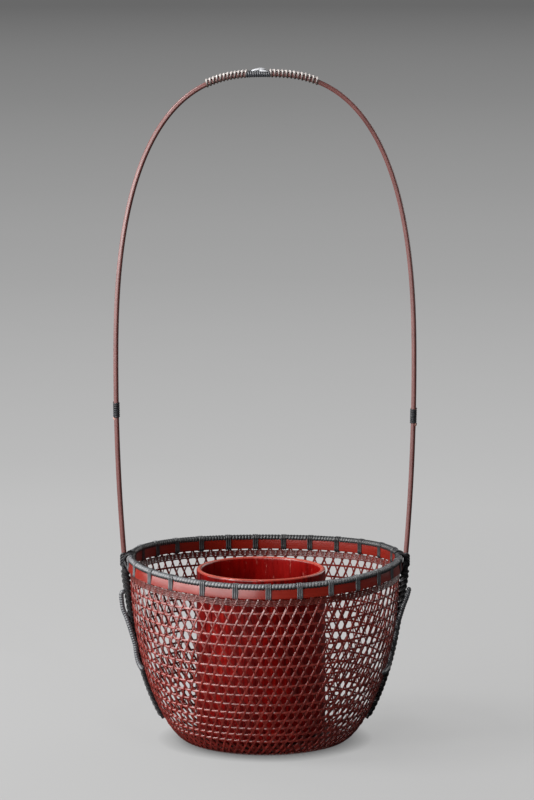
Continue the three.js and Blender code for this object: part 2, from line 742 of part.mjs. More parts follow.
for (const { name, side, joint } of SIDES) {
  const line = legLine(side);
  add(`${name}_stem`, scarfed(stem(line, side), side, joint, -1), ROD_FINISH);

  const bound = [joint + SCARF_LENGTH / 2, joint - SCARF_LENGTH / 2].map((z) => shareAtHeight(line, z));
  const binding = `${name}_joint_binding`;
  add(
    binding,
    winding(binding, line, side, bound, JOINT_TURNS, rodSection, JOINT_RATTAN_WIDTH),
    RATTAN_FINISH,
  );

  add(`${name}_rim_lashing`, rimLashing(side), RATTAN_FINISH);

  const lashed = [RIB_LASHING_TOP, RIB_LASHING_BOTTOM].map((z) => shareAtHeight(line, z));
  const ribLashing = `${name}_rib_lashing`;
  add(
    ribLashing,
    winding(ribLashing, line, side, lashed, RIB_TURNS, ribSection, RIB_RATTAN_WIDTH),
    RATTAN_FINISH,
  );

  add(`${name}_ear`, ear(side), RATTAN_FINISH);
}

// Grip: a strip along the top of the arch, open turns on both sides of a close binding, and a knot.

const archLength = arch.getLength();
const shareFromCrown = (distance) => 0.5 + distance / archLength;

function gripSpine() {
  const low = rodReach;
  const rows = Array.from({ length: SPINE_STEPS + 1 }, (_, k) => {
    const distance = GRIP_MIDDLE + SPINE_LENGTH * (k / SPINE_STEPS - 0.5);
    const { point, across, out } = frameAt(arch, shareFromCrown(distance), 1);
    return rectangle(-SPINE_SIZE / 2, SPINE_SIZE / 2, low, low + SPINE_SIZE).map(([b, a]) =>
      point.clone().addScaledVector(out, a).addScaledVector(across, b),
    );
  });
  return loft(rows, false);
}

add("grip_spine", gripSpine(), RATTAN_FINISH);

const gripTop = rodReach + SPINE_SIZE;
const gripSection = {
  out: (gripTop + rodRadius) / 2,
  across: rodRadius,
  shift: (gripTop - rodRadius) / 2,
};

const knotBindingSpan = [-0.5, 0.5].map((end) => KNOT_PLACE + end * KNOT_BINDING_LENGTH);
add(
  "knot_binding",
  winding(
    "knot_binding",
    arch,
    1,
    knotBindingSpan.map(shareFromCrown),
    KNOT_BINDING_TURNS,
    gripSection,
    KNOT_RATTAN_WIDTH,
  ),
  RATTAN_FINISH,
);

for (const { name, side } of SIDES) {
  const start = KNOT_BINDING_LENGTH / 2 + KNOT_RATTAN_WIDTH + GRIP_RATTAN_WIDTH;
  const ends = [KNOT_PLACE + side * start, GRIP_MIDDLE + (side * GRIP_LENGTH) / 2];
  const span = ends.map(shareFromCrown);
  const wrap = `${name}_grip_winding`;
  add(wrap, winding(wrap, arch, 1, span, GRIP_TURNS, gripSection, GRIP_RATTAN_WIDTH), RATTAN_FINISH);
}

const bindingTop = gripSection.shift + windingReach(gripSection.out);
const knot = new THREE.SphereGeometry(0.5, KNOT_SEGMENTS, KNOT_RINGS);
knot.rotateX(Math.PI / 2);
knot.scale(KNOT_LENGTH, KNOT_WIDTH, KNOT_THICKNESS);
knot.translate(KNOT_PLACE, 0, HANDLE_HEIGHT + bindingTop + CLEARANCE + KNOT_THICKNESS / 2);
add("knot", knot, KNOT_FINISH);

// Water tube: a length of bamboo, closed by its own node at the bottom, with a rounded lip.

function waterTube() {
  const bottom = matTop + CLEARANCE;
  const inner = TUBE_RADIUS - TUBE_WALL;
  const lip = Array.from({ length: LIP_STEPS + 1 }, (_, k) => {
    const turn = (Math.PI * k) / LIP_STEPS;
    const middle = TUBE_RADIUS - TUBE_WALL / 2;
    const across = middle + (TUBE_WALL / 2) * Math.cos(turn);
    return new THREE.Vector2(across, TUBE_TOP - TUBE_EDGE + TUBE_EDGE * Math.sin(turn));
  });
  return new THREE.LatheGeometry(
    [
      new THREE.Vector2(0, bottom),
      new THREE.Vector2(TUBE_RADIUS - TUBE_EDGE, bottom),
      new THREE.Vector2(TUBE_RADIUS, bottom + TUBE_EDGE),
      ...lip,
      new THREE.Vector2(inner, bottom + TUBE_FLOOR),
      new THREE.Vector2(0, bottom + TUBE_FLOOR),
    ],
    TUBE_SEGMENTS,
  ).rotateX(Math.PI / 2);
}

add("water_tube", waterTube(), LACQUER_FINISH).position.x = TUBE_PLACE;

export default basket;
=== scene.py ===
import math

import bpy
import numpy as np
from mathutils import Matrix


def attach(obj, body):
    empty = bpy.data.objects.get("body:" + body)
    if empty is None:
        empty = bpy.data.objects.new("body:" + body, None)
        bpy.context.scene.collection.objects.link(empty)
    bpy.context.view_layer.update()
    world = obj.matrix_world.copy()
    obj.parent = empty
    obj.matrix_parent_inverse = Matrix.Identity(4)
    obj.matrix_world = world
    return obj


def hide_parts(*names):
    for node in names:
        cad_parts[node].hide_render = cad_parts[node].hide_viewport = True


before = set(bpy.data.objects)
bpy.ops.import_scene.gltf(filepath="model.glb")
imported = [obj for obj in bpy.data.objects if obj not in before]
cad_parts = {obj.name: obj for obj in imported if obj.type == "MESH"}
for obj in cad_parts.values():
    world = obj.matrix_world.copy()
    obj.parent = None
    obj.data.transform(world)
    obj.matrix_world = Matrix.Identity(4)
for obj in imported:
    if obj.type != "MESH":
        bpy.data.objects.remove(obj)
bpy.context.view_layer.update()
scene = bpy.context.scene

# Lengths are in millimetres. +Z is up, -Y the front, and the handle spans X. Most lengths are those of
# the solids, and a few are set closer to the photo.
MM = 0.001

# Woven body
BASE_RADIUS = 67.5
BASE_SWELL = 18
RIM_RADIUS = 117.2
WALL_FOOT = 0.9
WALL_TOP = 151
RIM_STRAIGHT = 83
SETTLE = 0.03
STRIP_COUNT = 80
STRIP_WIDTH = 1.75
STRIP_THICKNESS = 0.32
STRIP_ROLL = math.radians(22)
STRIP_LAYER = 0.06
STRIP_WANDER = 0.05
HOOP_ROLL = math.radians(14)
HOOP_UPRIGHT = 0.75
STRIP_END = 157
HOOP_COUNT = 15
HOOP_WIDTH = 1.85
HOOP_THICKNESS = 0.4
HOOP_BEVEL = 0.4
HOOP_RISE = 0.32
HOOP_WANDER = 0.05
HOOP_TONE_AND_SHEEN = 0.35
HIGHEST_HOOP = 138
LOWEST_HOOP = 17
WEAVE_RISE = 0.12
TWINE_HEIGHTS = (145.4, 146.9, 148.3, 149.7)
TWINE_OVAL = (0.56, 0.36)
TWINE_RISE = 0.3
TWINE_SWAY = 0.2
BASE_TWINE_RISE = 0.35
BASE_TWINE_CLIMB = 0.012

# Base
MAT_RADIUS = 66.8
MAT_HEIGHT = 3.6
MAT_PITCH = 12
MAT_STRIP = 4.4
MAT_RISE = 0.33
MAT_SHIFT = 1 / 6
FOOT_INNER = 59.2
FOOT_OUTER = 67.2
FOOT_TOP = 1.3
FOOT_FILLET = 0.5
BATTEN_WIDTH = 9
BATTEN_SPACING = 30
BATTEN_BOTTOM = 1.6
BATTEN_TOP = 2.7
BATTEN_FILLET = 0.35
BATTEN_INSET = 0.6

# Rim
BAND_HEIGHT = 9.1
BAND_LIFT = 0.9
BAND_THICKNESS = 1.5
BAND_LEAN = 0.55
BAND_CROWN = 0.04
BAND_FILLET = 0.4
CLAMP_GAP = 1.6
COIL_HEIGHT = 162.0
COIL_REACH = 2.25
COIL_RISE = 2.2
COIL_HUB_LIFT = 0.2
CORE_LIFT = 0.1
CORE_OVAL = (2.15, 1.2)
COIL_TURNS = 258
COIL_STRAND = 3.9
COIL_THICKNESS = 1.55
# The share by which a binding draws the coil in, and how far beside it that fades
COIL_TUCK = 0.3
TUCK_ENDS = (2.0, 3.2)
# Where the painted shade starts and where it is full: by the turn of the coil, and by the way in along a
# binding
COIL_PAINTED_SHADE = (-0.6, 0.45)
BINDING_PAINTED_SHADE = (-0.5, 2)
BINDING_STRAND = 1.7
BINDING_THICKNESS = 0.95
BINDING_HUB = (152.5, 163)
# Across from the rim's middle circle, and height, from the coil's top to under the bands
BINDING_ROUTE = (
    (0, 164.8), (1.8, 164.4), (2.75, 163.2), (2.88, 161.6), (2.75, 160.4), (2.75, 156), (2.9, 153.3),
    (2.3, 151.65), (0, 151.35),
)
# Degrees to the right of the front
BINDINGS = (
    1.4, 14.4, 28.0, 41.5, 54.6, 66.1, 79.0, 91.5, 104.0, 118.4, 132.7, 146.1, 159.5, 171.7,
    184.3, 196.6, 209.7, 223.0, 236.2, 249.5, 262.7, 276.0, 289.2, 304.1, 317.7, 333.5, 347.8,
)

# Handle
ROD_RADIUS = 2.2
HANDLE_HALF_SPAN = 129.3
SPRING_HEIGHT = 322
HANDLE_HEIGHT = 583
ARCH_POWER = 2.6
HANDLE_MIDDLE = (0, 0, 250)
RIM_REACH = 123.1
# Out from the rim's middle circle, across from the leg, and height
LASHING_ROUTE = (
    (-2.7, -4.6, 163.6), (0, -4.8, 165.3), (2.7, -4.2, 164.6), (4.6, -3.2, 162.6), (7.2, -2.3, 160.9),
    (8.45, 0, 158.6), (7.2, 2.3, 156.4), (4.6, 3.2, 154.6), (2.8, 4.0, 152.4), (0.2, 4.4, 150.3),
    (-2.9, 4.4, 151.7), (-3.1, 1.0, 156.5), (-3.2, -3.8, 161.8),
)
LASHING_STRAND = 1.9
LASHING_SLIDES = (-3.0, -1.0, 1.0, 3.0)
LASHING_SPREAD = 1.2
LASHING_CROSSING = 0.6
LASHING_HUB = ((0, 5.7), (154, 162))
LASHING_HUB_BREADTH = 0.2
ON_LEG = (2.5, 6)
WRAP_TOP = 165
JOINT_HEIGHT = {-1: 291.5, 1: 286.0}
JOINT_LENGTH = 13
JOINT_TURNS = 8
JOINT_STRAND = 1.7
JOINT_LIFT = 0.4
SCARF_LENGTH = 3.2
SCARF_RADIUS = 2.0
SCARF_SHIFT = 1.2
ROD_SIDE = 1.98
ROD_POWER = 3.2
ROD_TURN = math.radians(27)
ROD_TIP = math.radians(10)
PLANED_ENDS = (WRAP_TOP - 12, WRAP_TOP + 4)
RIB_STANDOFF = 2.45
RIB_START = 97
RIB_END = 19
# Height, reach and half depth of a leg where it leaves the rim and comes in to the wall
RIB_WAIST = (
    (160, 123.0, 2.2), (155, 122.75, 2.4), (150, 122.2, 2.7), (142.3, 121.3, 2.85),
    (136.9, 120.55, 2.75), (131.6, 119.95, 2.5), (122, 118.9, 2.0), (113, 117.75, 1.75),
    (105, 116.6, 1.6),
)
RIB_LASHED = (149.5, 21)
RIB_TURNS = 9.5
RIB_STARTS = 3
RIB_PEEL = (2.0, 1.3)
RIB_DEPTH_LIFT = 0.6
RIB_BREADTH_LIFT = 0.5
DYE_HEIGHT = 166
STRAND_THICKNESS = 0.75

# Ears: height, reach and place across, which is negative towards the front
EAR_RADIUS = 2.15
EAR_COIL_PITCH = 2.1
EAR_GROOVE = 0.24
EAR_ROUTES = {
    -1: (
        (130.3, 121.4, 0.4), (130.7, 123.6, 0.0), (128.4, 125.5, -0.4), (122, 125.1, -1.0),
        (115.5, 124.0, -1.6), (110, 121.8, -2.2), (105, 119.9, -3.2), (99.5, 118.1, -4.0),
        (94, 116.4, -4.4), (88, 114.6, -4.7), (83, 113.3, -4.8), (78, 112.8, -4.9), (73, 111.9, -5.4),
        (69, 110.7, -7.0), (66.6, 109.3, -9.8), (65.6, 107.9, -13.4), (65, 106.4, -17.5),
    ),
    1: (
        (134.8, 126.0, -0.2), (131.6, 125.6, -0.6), (126, 123.9, -2.2), (121, 121.8, -3.8),
        (115.5, 119.9, -4.5), (110, 118.2, -4.9), (105, 116.7, -5.0), (99.5, 115.5, -5.0),
        (94, 114.4, -5.0), (88, 113.3, -5.0), (83, 112.2, -5.0), (78, 111.1, -5.1), (73, 109.9, -5.6),
        (69, 108.9, -7.2), (66.4, 108.0, -10.4), (65.2, 106.8, -15.5), (64.8, 105.0, -22.5),
        (64.5, 102.8, -30.5),
    ),
}

# Grip, measured along the arch from its crown
GRIP_MIDDLE = -5.6
GRIP_DENSE = 10.2
GRIP_ENDS = {-1: -51.4, 1: 46.0}
GRIP_TURNS = {-1: 11.5, 1: 12.5}
SPINE_WIDTH = 1.7
SPINE_HEIGHT = 0.8
SPINE_GAP = 0.55
SPINE_SINK = 0.4
SPINE_FILLET = 0.3
SPINE_INSET = 2.4
SPINE_RAMP = (GRIP_DENSE - 4, GRIP_DENSE + 1)
MIDDLE_TURNS = 11
MIDDLE_OVERLAP = 0.3
# How far a turn faces down, from where the painted shade on its underside starts to where it is full
DOWN_FACING_SHADE = (-0.85, -0.05)
KNOT_HEIGHT = 587
# Length, breadth, thickness, place from the knot's middle, turn in plan, lean and tone of each lobe
KNOT_LOBES = (
    (13, 4.6, 2.4, (0.2, 0.2, 0), 0.1, 0.13, 0.7),
    (8.5, 3.2, 1.9, (4.4, -1.7, -1.2), -0.15, -0.08, 0.4),
)
LOBE_BOW = 0.012

# Water tube
TUBE_PLACE = -3.6
TUBE_RADIUS = 56.4
TUBE_WALL = 4.6
TUBE_TOP = 151.8
TUBE_BOTTOM = 4.5
TUBE_FLOOR = 8
TUBE_FOOT = 6
TUBE_EDGE = 1.8
TUBE_NECK = 4
TUBE_HUB = 4
TUBE_WAVES = (0.004, 0.002)

# How finely forms are laid
ROW_STEPS = 6
HOOP_STEPS = 6
TURN_STEPS = 14
MAT_STEPS = 73
BATTEN_STEPS = 24
SPINE_STEPS = 90
ARCH_STEP = 1.6
STEM_STEP = 1.4
ROD_SIDES = 24
ROUND_SIDES = 14
LOBE_SIDES = 16
TUBE_SEGMENTS = 144
# First and last row of the tube's lip, counted from the middle of its bottom
LIP_ROWS = (29, 41)
SHARP_ANGLE = math.radians(62)
# The map's shift from strand to strand
STRAND_SHIFT = 61.7
GOLDEN = 0.6180339887

UP = np.array((0.0, 0.0, 1.0))
FRONT = np.array((0.0, -1.0, 0.0))
SIDES = (("left", -1), ("right", 1))


# Arrays of points

def unit(vectors):
    """Each vector over its own length."""
    return vectors / np.linalg.norm(vectors, axis=-1, keepdims=True)


def circle(count):
    """Even angles once round."""
    return np.arange(count) * 2 * math.pi / count


def heading(angle):
    """The unit vector in plan at each angle."""
    return np.stack([np.cos(angle), np.sin(angle)], -1)


def smoothstep(value, low, high):
    """0 below low, 1 above high, and 3t^2 - 2t^3 between them."""
    share = np.clip((value - low) / (high - low), 0, 1)
    return share * share * (3 - 2 * share)


def smooth(corners, samples, closed=False):
    """A Catmull-Rom line through the corners, read at even steps from corner to corner."""
    corners = np.asarray(corners, float)
    count = len(corners)
    way = np.linspace(0, count if closed else count - 1, samples, endpoint=not closed)
    first = np.minimum(way.astype(int), count - (1 if closed else 2))
    share = (way - first)[:, None]
    places = [first + step for step in (-1, 0, 1, 2)]
    a, b, c, d = (corners[p % count if closed else np.clip(p, 0, count - 1)] for p in places)
    cubic = (3 * b - a - 3 * c + d) * share**3
    square = (2 * a - 5 * b + 4 * c - d) * share**2
    return 0.5 * (2 * b + (c - a) * share + square + cubic)


def even_steps(line, step):
    """A line of points read again at equal distances along itself."""
    length = np.concatenate([[0], np.cumsum(np.linalg.norm(np.diff(line, axis=0), axis=1))])
    count = max(2, round(length[-1] / step) + 1)
    way = np.linspace(0, length[-1], count)
    return np.stack([np.interp(way, length, axis) for axis in line.T], -1)


def axes(line, out, closed=False):
    """Out and across of strands, both square to the line. Across is square to the given out too."""
    if closed:
        along = unit(np.roll(line, -1, axis=-2) - np.roll(line, 1, axis=-2))
    else:
        along = unit(np.gradient(line, axis=-2))
    across = unit(np.cross(out, along))
    return np.cross(along, across), across


def carry(section, line, out, across):
    """A section, or one for each point, carried along lines: across times its first number, and out
    times its second."""
    wide = across[..., None, :] * section[..., :1]
    return line[..., None, :] + wide + out[..., None, :] * section[..., 1:]


def mirrored(right, crown):
    """A section from its right side, bottom first, and the height of its middle."""
    left = [(-across, out) for across, out in right[::-1]]
    return np.array([left[-1], *right, (0, crown), *left[:-1]])


def ribbon(width, thickness):
    """Section of a split strip: a flat back and a crowned face, as the skin of a culm has."""
    half, face = width / 2, thickness / 2
    shoulder = [(0.88 * half, 0.75 * face), (0.55 * half, 1.05 * face)]
    return mirrored([(half, -face), (half, 0.2 * face), *shoulder], 1.2 * face)


def bevelled(width, thickness, bevel):
    """Section of a split strip: a flat back, and a face with both its corners taken off low."""
    half, face = width / 2, thickness / 2
    return mirrored([(half, -face), (half, face - 0.45 * bevel), (half - bevel, face)], face + 0.03)


def peel(width, thickness):
    """Section of rattan peel: a half oval on a flat back."""
    turn = np.linspace(0, math.pi, 7)
    return np.stack([width / 2 * np.cos(turn), thickness * (np.sin(turn) - 0.5)], -1)


def oval(across, out, sides):
    """Section of a round strand: an ellipse of even angles."""
    return heading(circle(sides)) * (across, out)


def board(width, height, fillet, steps=3):
    """Section of a planed board: a rectangle with a quarter circle of `fillet` at each corner."""
    quarter = np.linspace(0, math.pi / 2, steps)
    turn = np.concatenate([quarter + k * math.pi / 2 for k in range(4)])
    signs = np.repeat([(1, 1), (-1, 1), (-1, -1), (1, -1)], steps, axis=0)
    return signs * (np.array([width, height]) / 2 - fillet) + fillet * heading(turn)


def settle(points):
    """The body sits lower at the front and back: heights lose SETTLE times the squared sine of azimuth."""
    x, y, z = np.moveaxis(points, -1, 0)
    return np.stack([x, y, z * (1 - SETTLE * y * y / (x * x + y * y))], -1)


def shares(count):
    """Well spread numbers from 0 to 1, the same each run: multiples of the golden section."""
    return np.arange(1, count + 1) * GOLDEN % 1


def add(name, data):
    """A new object in the scene."""
    made = bpy.data.objects.new(name, data)
    scene.collection.objects.link(made)
    return made


class Piece:
    """Grids of points, in millimetres, gathered into one mesh with a map along and round each strand."""

    def __init__(self):
        self.points, self.tones, self.edges, self.faces, self.maps = [], [], [], [], []
        self.count = 0

    def grid(self, points, closed=False, edge=0.0, tone=None):
        """Lays quads over (strands, rows, columns) points. Columns go round a closed section, and rows
        along the strand, which is closed or has an end face at both ends."""
        points = points.reshape((-1,) + points.shape[-3:])
        strands, rows, columns = points.shape[:3]
        number = self.count + np.arange(strands * rows * columns).reshape(strands, rows, columns)
        self.count += number.size
        middle = points.mean(2)
        step = np.linalg.norm(np.diff(middle, axis=1, append=middle[:, :1]), axis=-1)
        along = np.cumsum(np.pad(step, ((0, 0), (1, 0))), 1) + STRAND_SHIFT * np.arange(strands)[:, None]
        side = np.linalg.norm(np.diff(points, axis=2, append=points[:, :, :1]), axis=-1).mean((0, 1))
        around = np.cumsum(np.pad(side, (1, 0)))
        shape = (strands, rows + 1, columns + 1)
        lay = np.stack(np.broadcast_arrays(along[:, :, None], around), -1).reshape(shape + (2,))
        if closed:
            number = np.concatenate([number, number[:, :1]], 1)
        else:
            lay = lay[:, :-1]
        wrapped = np.concatenate([number, number[:, :, :1]], 2)
        quads, quad_maps = self.corners(wrapped), self.corners(lay)
        whole = points.reshape(-1, 3)
        a, b, c, d = (whole[quads[:, k] - quads.min()] for k in range(4))
        inside_out = np.sum(a * np.cross(b, c) + a * np.cross(c, d)) < 0
        ends, end_maps = [], []
        if not closed:
            ends = [number[:, 0], number[:, -1, ::-1]]
            end_maps = [lay[:, 0, :-1], lay[:, -1, -2::-1]]
        for faces, maps in [(quads, quad_maps), *zip(ends, end_maps)]:
            self.faces += (faces[:, ::-1] if inside_out else faces).tolist()
            self.maps.append((maps[:, ::-1] if inside_out else maps).reshape(-1, 2))
        self.points.append(whole)
        tone = shares(strands)[:, None, None] if tone is None else tone
        self.tones.append(np.broadcast_to(tone, (strands, rows, columns)).ravel())
        self.edges.append(np.broadcast_to(edge, (strands, rows, columns)).ravel())
        return self

    @staticmethod
    def corners(grid):
        """The four corners of each cell of the grids."""
        cells = [grid[:, :-1, :-1], grid[:, :-1, 1:], grid[:, 1:, 1:], grid[:, 1:, :-1]]
        quads = np.stack(cells, 3)
        return quads.reshape((-1, 4) + quads.shape[4:])

    def lay(self, name, finish, slot, *nodes, body="basket"):
        """Makes the object, and tells the frame what carries it and which solids it stands for."""
        mesh = bpy.data.meshes.new(name)
        mesh.from_pydata(np.concatenate(self.points) * MM, [], self.faces)
        mesh.uv_layers.new(name="lay").data.foreach_set("uv", np.concatenate(self.maps).ravel())
        for label, values in (("tone", self.tones), ("edge", self.edges)):
            mesh.attributes.new(label, "FLOAT", "POINT").data.foreach_set("value", np.concatenate(values))
        mesh.shade_smooth()
        mesh.set_sharp_from_angle(angle=SHARP_ANGLE)
        mesh.materials.append(finish)
        made = add(name, mesh)
        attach(made, body)
        if nodes:
            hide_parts(*nodes)
        return made


# Finishes

class Value:
    """A shader socket that operators join to numbers and to other sockets through Math nodes."""

    def __init__(self, finish, socket):
        self.finish = finish
        self.socket = socket

    def math(self, operation, first, second):
        return self.finish.node("ShaderNodeMath", {0: first, 1: second}, operation=operation)

    def __add__(self, other):
        return self.math("ADD", self, other)

    def __sub__(self, other):
        return self.math("SUBTRACT", self, other)

    def __rsub__(self, other):
        return self.math("SUBTRACT", other, self)

    def __mul__(self, other):
        return self.math("MULTIPLY", self, other)

    def __pow__(self, other):
        return self.math("POWER", self, other)

    __rmul__ = __mul__


class Finish:
    """A material and its nodes."""

    def __init__(self, name, **constants):
        self.material = bpy.data.materials.new(name)
        self.material.use_nodes = True
        self.tree = self.material.node_tree
        self.shader = self.tree.nodes["Principled BSDF"]
        self.feed(**constants)

    def node(self, kind, sockets, output=0, **settings):
        """Adds a node: its settings, and the values or links of its sockets."""
        made = self.tree.nodes.new(kind)
        for label, value in settings.items():
            setattr(made, label, value)
        self.join(made, sockets)
        return Value(self, made.outputs[output])

    def join(self, made, sockets):
        for label, value in sockets.items():
            if isinstance(value, Value):
                self.tree.links.new(value.socket, made.inputs[label])
            else:
                made.inputs[label].default_value = value

    def feed(self, **sockets):
        """Inputs of the shader, with _ for each space in their names."""
        self.join(self.shader, {label.replace("_", " "): value for label, value in sockets.items()})

    def read(self, label):
        """A number that the mesh carries."""
        return self.node("ShaderNodeAttribute", {}, "Fac", attribute_name=label)

    def lay(self, along, across):
        """The piece's own map, along and round its strands, in cells of these many millimetres."""
        lay = self.node("ShaderNodeUVMap", {}, uv_map="lay")
        scale = (1 / along, 1 / across, 1)
        return self.node("ShaderNodeMapping", {"Vector": lay, "Scale": scale})

    def where(self):
        """Object coordinates, in metres."""
        return self.node("ShaderNodeTexCoord", {}, "Object")

    def place(self, x, y, z):
        """Object coordinates in cells of these many millimetres."""
        scale = (1 / (x * MM), 1 / (y * MM), 1 / (z * MM))
        return self.node("ShaderNodeMapping", {"Vector": self.where(), "Scale": scale})

    def noise(self, where, detail=3, roughness=0.55):
        sockets = {"Vector": where, "Scale": 1, "Detail": detail, "Roughness": roughness}
        return self.node("ShaderNodeTexNoise", sockets)

    def ramp(self, value, *stops):
        made = self.node("ShaderNodeValToRGB", {"Fac": value})
        elements = made.socket.node.color_ramp.elements
        while len(elements) < len(stops):
            elements.new(1)
        for element, (place, colour) in zip(elements, stops):
            element.position = place
            element.color = (*colour, 1)
        return made

    def mix(self, share, first, second):
        colours = [value if isinstance(value, Value) else (*value, 1) for value in (first, second)]
        sockets = {0: share, 6: colours[0], 7: colours[1]}
        return self.node("ShaderNodeMix", sockets, 2, data_type="RGBA", clamp_factor=True)

    def bump(self, height, depth, strength=1):
        """Dents of this depth in millimetres."""
        sockets = {"Height": height, "Distance": depth * MM, "Strength": strength}
        self.feed(Normal=self.node("ShaderNodeBump", sockets))


def bamboo(name, dark, middle, pale, worn, fibre, gloss, coat, dent=0.09, dyed_below=None):
    """Smoked and lacquered bamboo: fibres along each strand, a tone of its own for each strand, soft
    stains, and a paler worn edge. Below a height it may be dyed black."""
    finish = Finish(name, Coat_Weight=coat, Coat_Roughness=0.18, Specular_IOR_Level=0.35)
    fibres = finish.noise(finish.lay(38, fibre), 4, 0.65)
    stains = finish.noise(finish.place(26, 26, 26), 2)
    shade = fibres * 0.55 + stains * 0.4 + finish.read("tone") * 0.34 - 0.2
    colour = finish.ramp(shade, (0.12, dark), (0.5, middle), (0.86, pale))
    wear = finish.read("edge") * finish.noise(finish.lay(9, 2), 2) ** 2
    colour = finish.mix(wear * 1.1, colour, worn)
    if dyed_below:
        height = finish.node("ShaderNodeSeparateXYZ", {"Vector": finish.where()}, "Z")
        colour = finish.mix((dyed_below * MM - height) * 300, colour, (0.012, 0.011, 0.012))
    finish.feed(Base_Color=colour, Roughness=fibres * 0.22 + gloss)
    finish.bump(fibres, dent)
    return finish.material


def rattan(name, dark, middle, pale, gloss, coat, level=0.5):
    """Dyed rattan peel: fine lines along each strand and a tone for each strand. Where the mesh's edge
    number is high, most in the grooves beside its edges, it is painted darker, as painted shade."""
    finish = Finish(name, Coat_Weight=coat, Coat_Roughness=0.22, Specular_IOR_Level=level)
    lines = finish.noise(finish.lay(16, 0.34), 3, 0.7)
    blotches = finish.noise(finish.lay(5, 2.6), 2)
    shade = lines * 0.6 + blotches * 0.35 + finish.read("tone") * 0.3 - 0.16
    colour = finish.ramp(shade, (0.15, dark), (0.5, middle), (0.88, pale))
    # Painted shade in the grooves, by the mesh's edge number
    groove_shade = tuple(0.4 * part for part in dark)
    colour = finish.mix(finish.read("edge") * 0.95, colour, groove_shade)
    finish.feed(Base_Color=colour, Roughness=lines * 0.25 + gloss)
    finish.bump(lines, 0.07)
    return finish.material


def red_lacquer():
    """Red lacquer on a bamboo culm: upright streaks where the brush thinned it to orange, dark pools,
    and a slow swell of the culm under a glossy coat."""
    finish = Finish("red_lacquer", Coat_Weight=0.5, Coat_Roughness=0.04, Specular_IOR_Level=0.15)
    streaks = finish.noise(finish.place(3, 3, 16), 4, 0.65)
    pools = finish.noise(finish.place(24, 24, 60), 2)
    fine = finish.noise(finish.place(1.4, 1.4, 26), 2)
    inside = finish.read("tone")
    # The outside, which lies behind the weave, is painted a little darker than the inside, as painted shade
    shade = (streaks - 0.5) * (1.5 - 1.1 * inside) + pools * 0.5 + fine * 0.12 + inside * 0.04 - 0.03
    colour = finish.ramp(
        shade, (0.15, (0.07, 0.0006, 0.0006)), (0.52, (0.25, 0.002, 0.001)), (0.9, (0.46, 0.06, 0.03))
    )
    # The lip is paler: partly wear, partly a painted highlight along its edge
    colour = finish.mix(finish.read("edge") * 0.75, colour, (0.55, 0.13, 0.09))
    scuffs = finish.noise(finish.place(2.4, 2.4, 8), 3, 0.7) * 9 - 5.6
    patches = finish.noise(finish.place(30, 30, 30), 1) * 8 - 4.2
    scuffed = scuffs.math("MINIMUM", scuffs, patches) * 0.6
    colour = finish.mix(scuffed, colour, (0.5, 0.16, 0.13))
    finish.feed(Base_Color=colour, Roughness=streaks * 0.2 + 0.2)
    finish.bump(streaks + pools, 0.25, 0.5)
    return finish.material


STRIPS = bamboo(
    "smoked_bamboo", (0.05, 0.004, 0.003), (0.13, 0.012, 0.009), (0.22, 0.034, 0.026), (0.26, 0.05, 0.035),
    0.5, 0.2, 0.6,
)
TWINE = bamboo(
    "twined_bamboo", (0.03, 0.004, 0.003), (0.1, 0.014, 0.01), (0.19, 0.04, 0.03), (0.26, 0.05, 0.035),
    0.5, 0.3, 0.35,
)
BANDS = bamboo(
    "rim_bamboo", (0.07, 0.003, 0.001), (0.17, 0.008, 0.003), (0.29, 0.03, 0.011), (0.36, 0.1, 0.06),
    0.9, 0.2, 0.4,
)
RODS = bamboo(
    "handle_bamboo", (0.05, 0.015, 0.013), (0.115, 0.038, 0.034), (0.18, 0.072, 0.065), (0.24, 0.11, 0.095),
    2.5, 0.32, 0.38, 0.02, DYE_HEIGHT,
)
DARK = rattan("dark_rattan", (0.014, 0.014, 0.017), (0.05, 0.053, 0.06), (0.12, 0.125, 0.14), 0.2, 0.5)
COIL = rattan("rim_rattan", (0.014, 0.015, 0.017), (0.085, 0.088, 0.095), (0.3, 0.305, 0.315), 0.32, 0.3)
BLACK = rattan(
    "black_rattan", (0.004, 0.004, 0.005), (0.012, 0.012, 0.014), (0.05, 0.052, 0.058), 0.3, 0.0, 0.3
)
GRIP = rattan("grip_rattan", (0.09, 0.05, 0.038), (0.4, 0.36, 0.34), (0.82, 0.79, 0.78), 0.3, 0.3)
CUT = rattan("cut_bamboo", (0.26, 0.13, 0.105), (0.38, 0.21, 0.175), (0.48, 0.3, 0.255), 0.5, 0)
PALE = rattan("pale_rattan", (0.26, 0.26, 0.27), (0.42, 0.43, 0.45), (0.56, 0.57, 0.59), 0.25, 0.4)
LACQUER = red_lacquer()


# Woven wall

def wall_profile():
    """Radius, height and outward normal up the wall against climb: a cubic Bezier curve from the base
    to the rim, then straight up between the bands. Climb sums each step's length over its radius."""
    share = np.linspace(0, 1, 800)[:, None]
    rest = 1 - share
    corners = np.array([
        (BASE_RADIUS, WALL_FOOT), (BASE_RADIUS + BASE_SWELL, WALL_FOOT),
        (RIM_RADIUS, WALL_TOP - RIM_STRAIGHT), (RIM_RADIUS, WALL_TOP),
    ])
    weights = (rest**3, 3 * rest**2 * share, 3 * rest * share**2, share**3)
    curve = sum(weight * corner for weight, corner in zip(weights, corners))
    heights = np.linspace(WALL_TOP, STRIP_END, 12)[1:]
    profile = np.vstack([curve, np.stack([np.full_like(heights, RIM_RADIUS), heights], -1)])
    steps = np.diff(profile, axis=0)
    mean_radius = (profile[1:, 0] + profile[:-1, 0]) / 2
    climb = np.concatenate([[0], np.cumsum(np.hypot(*steps.T) / mean_radius)])
    tangent = unit(np.gradient(profile, axis=0))
    return climb, np.column_stack([profile, tangent[:, 1], -tangent[:, 0]])


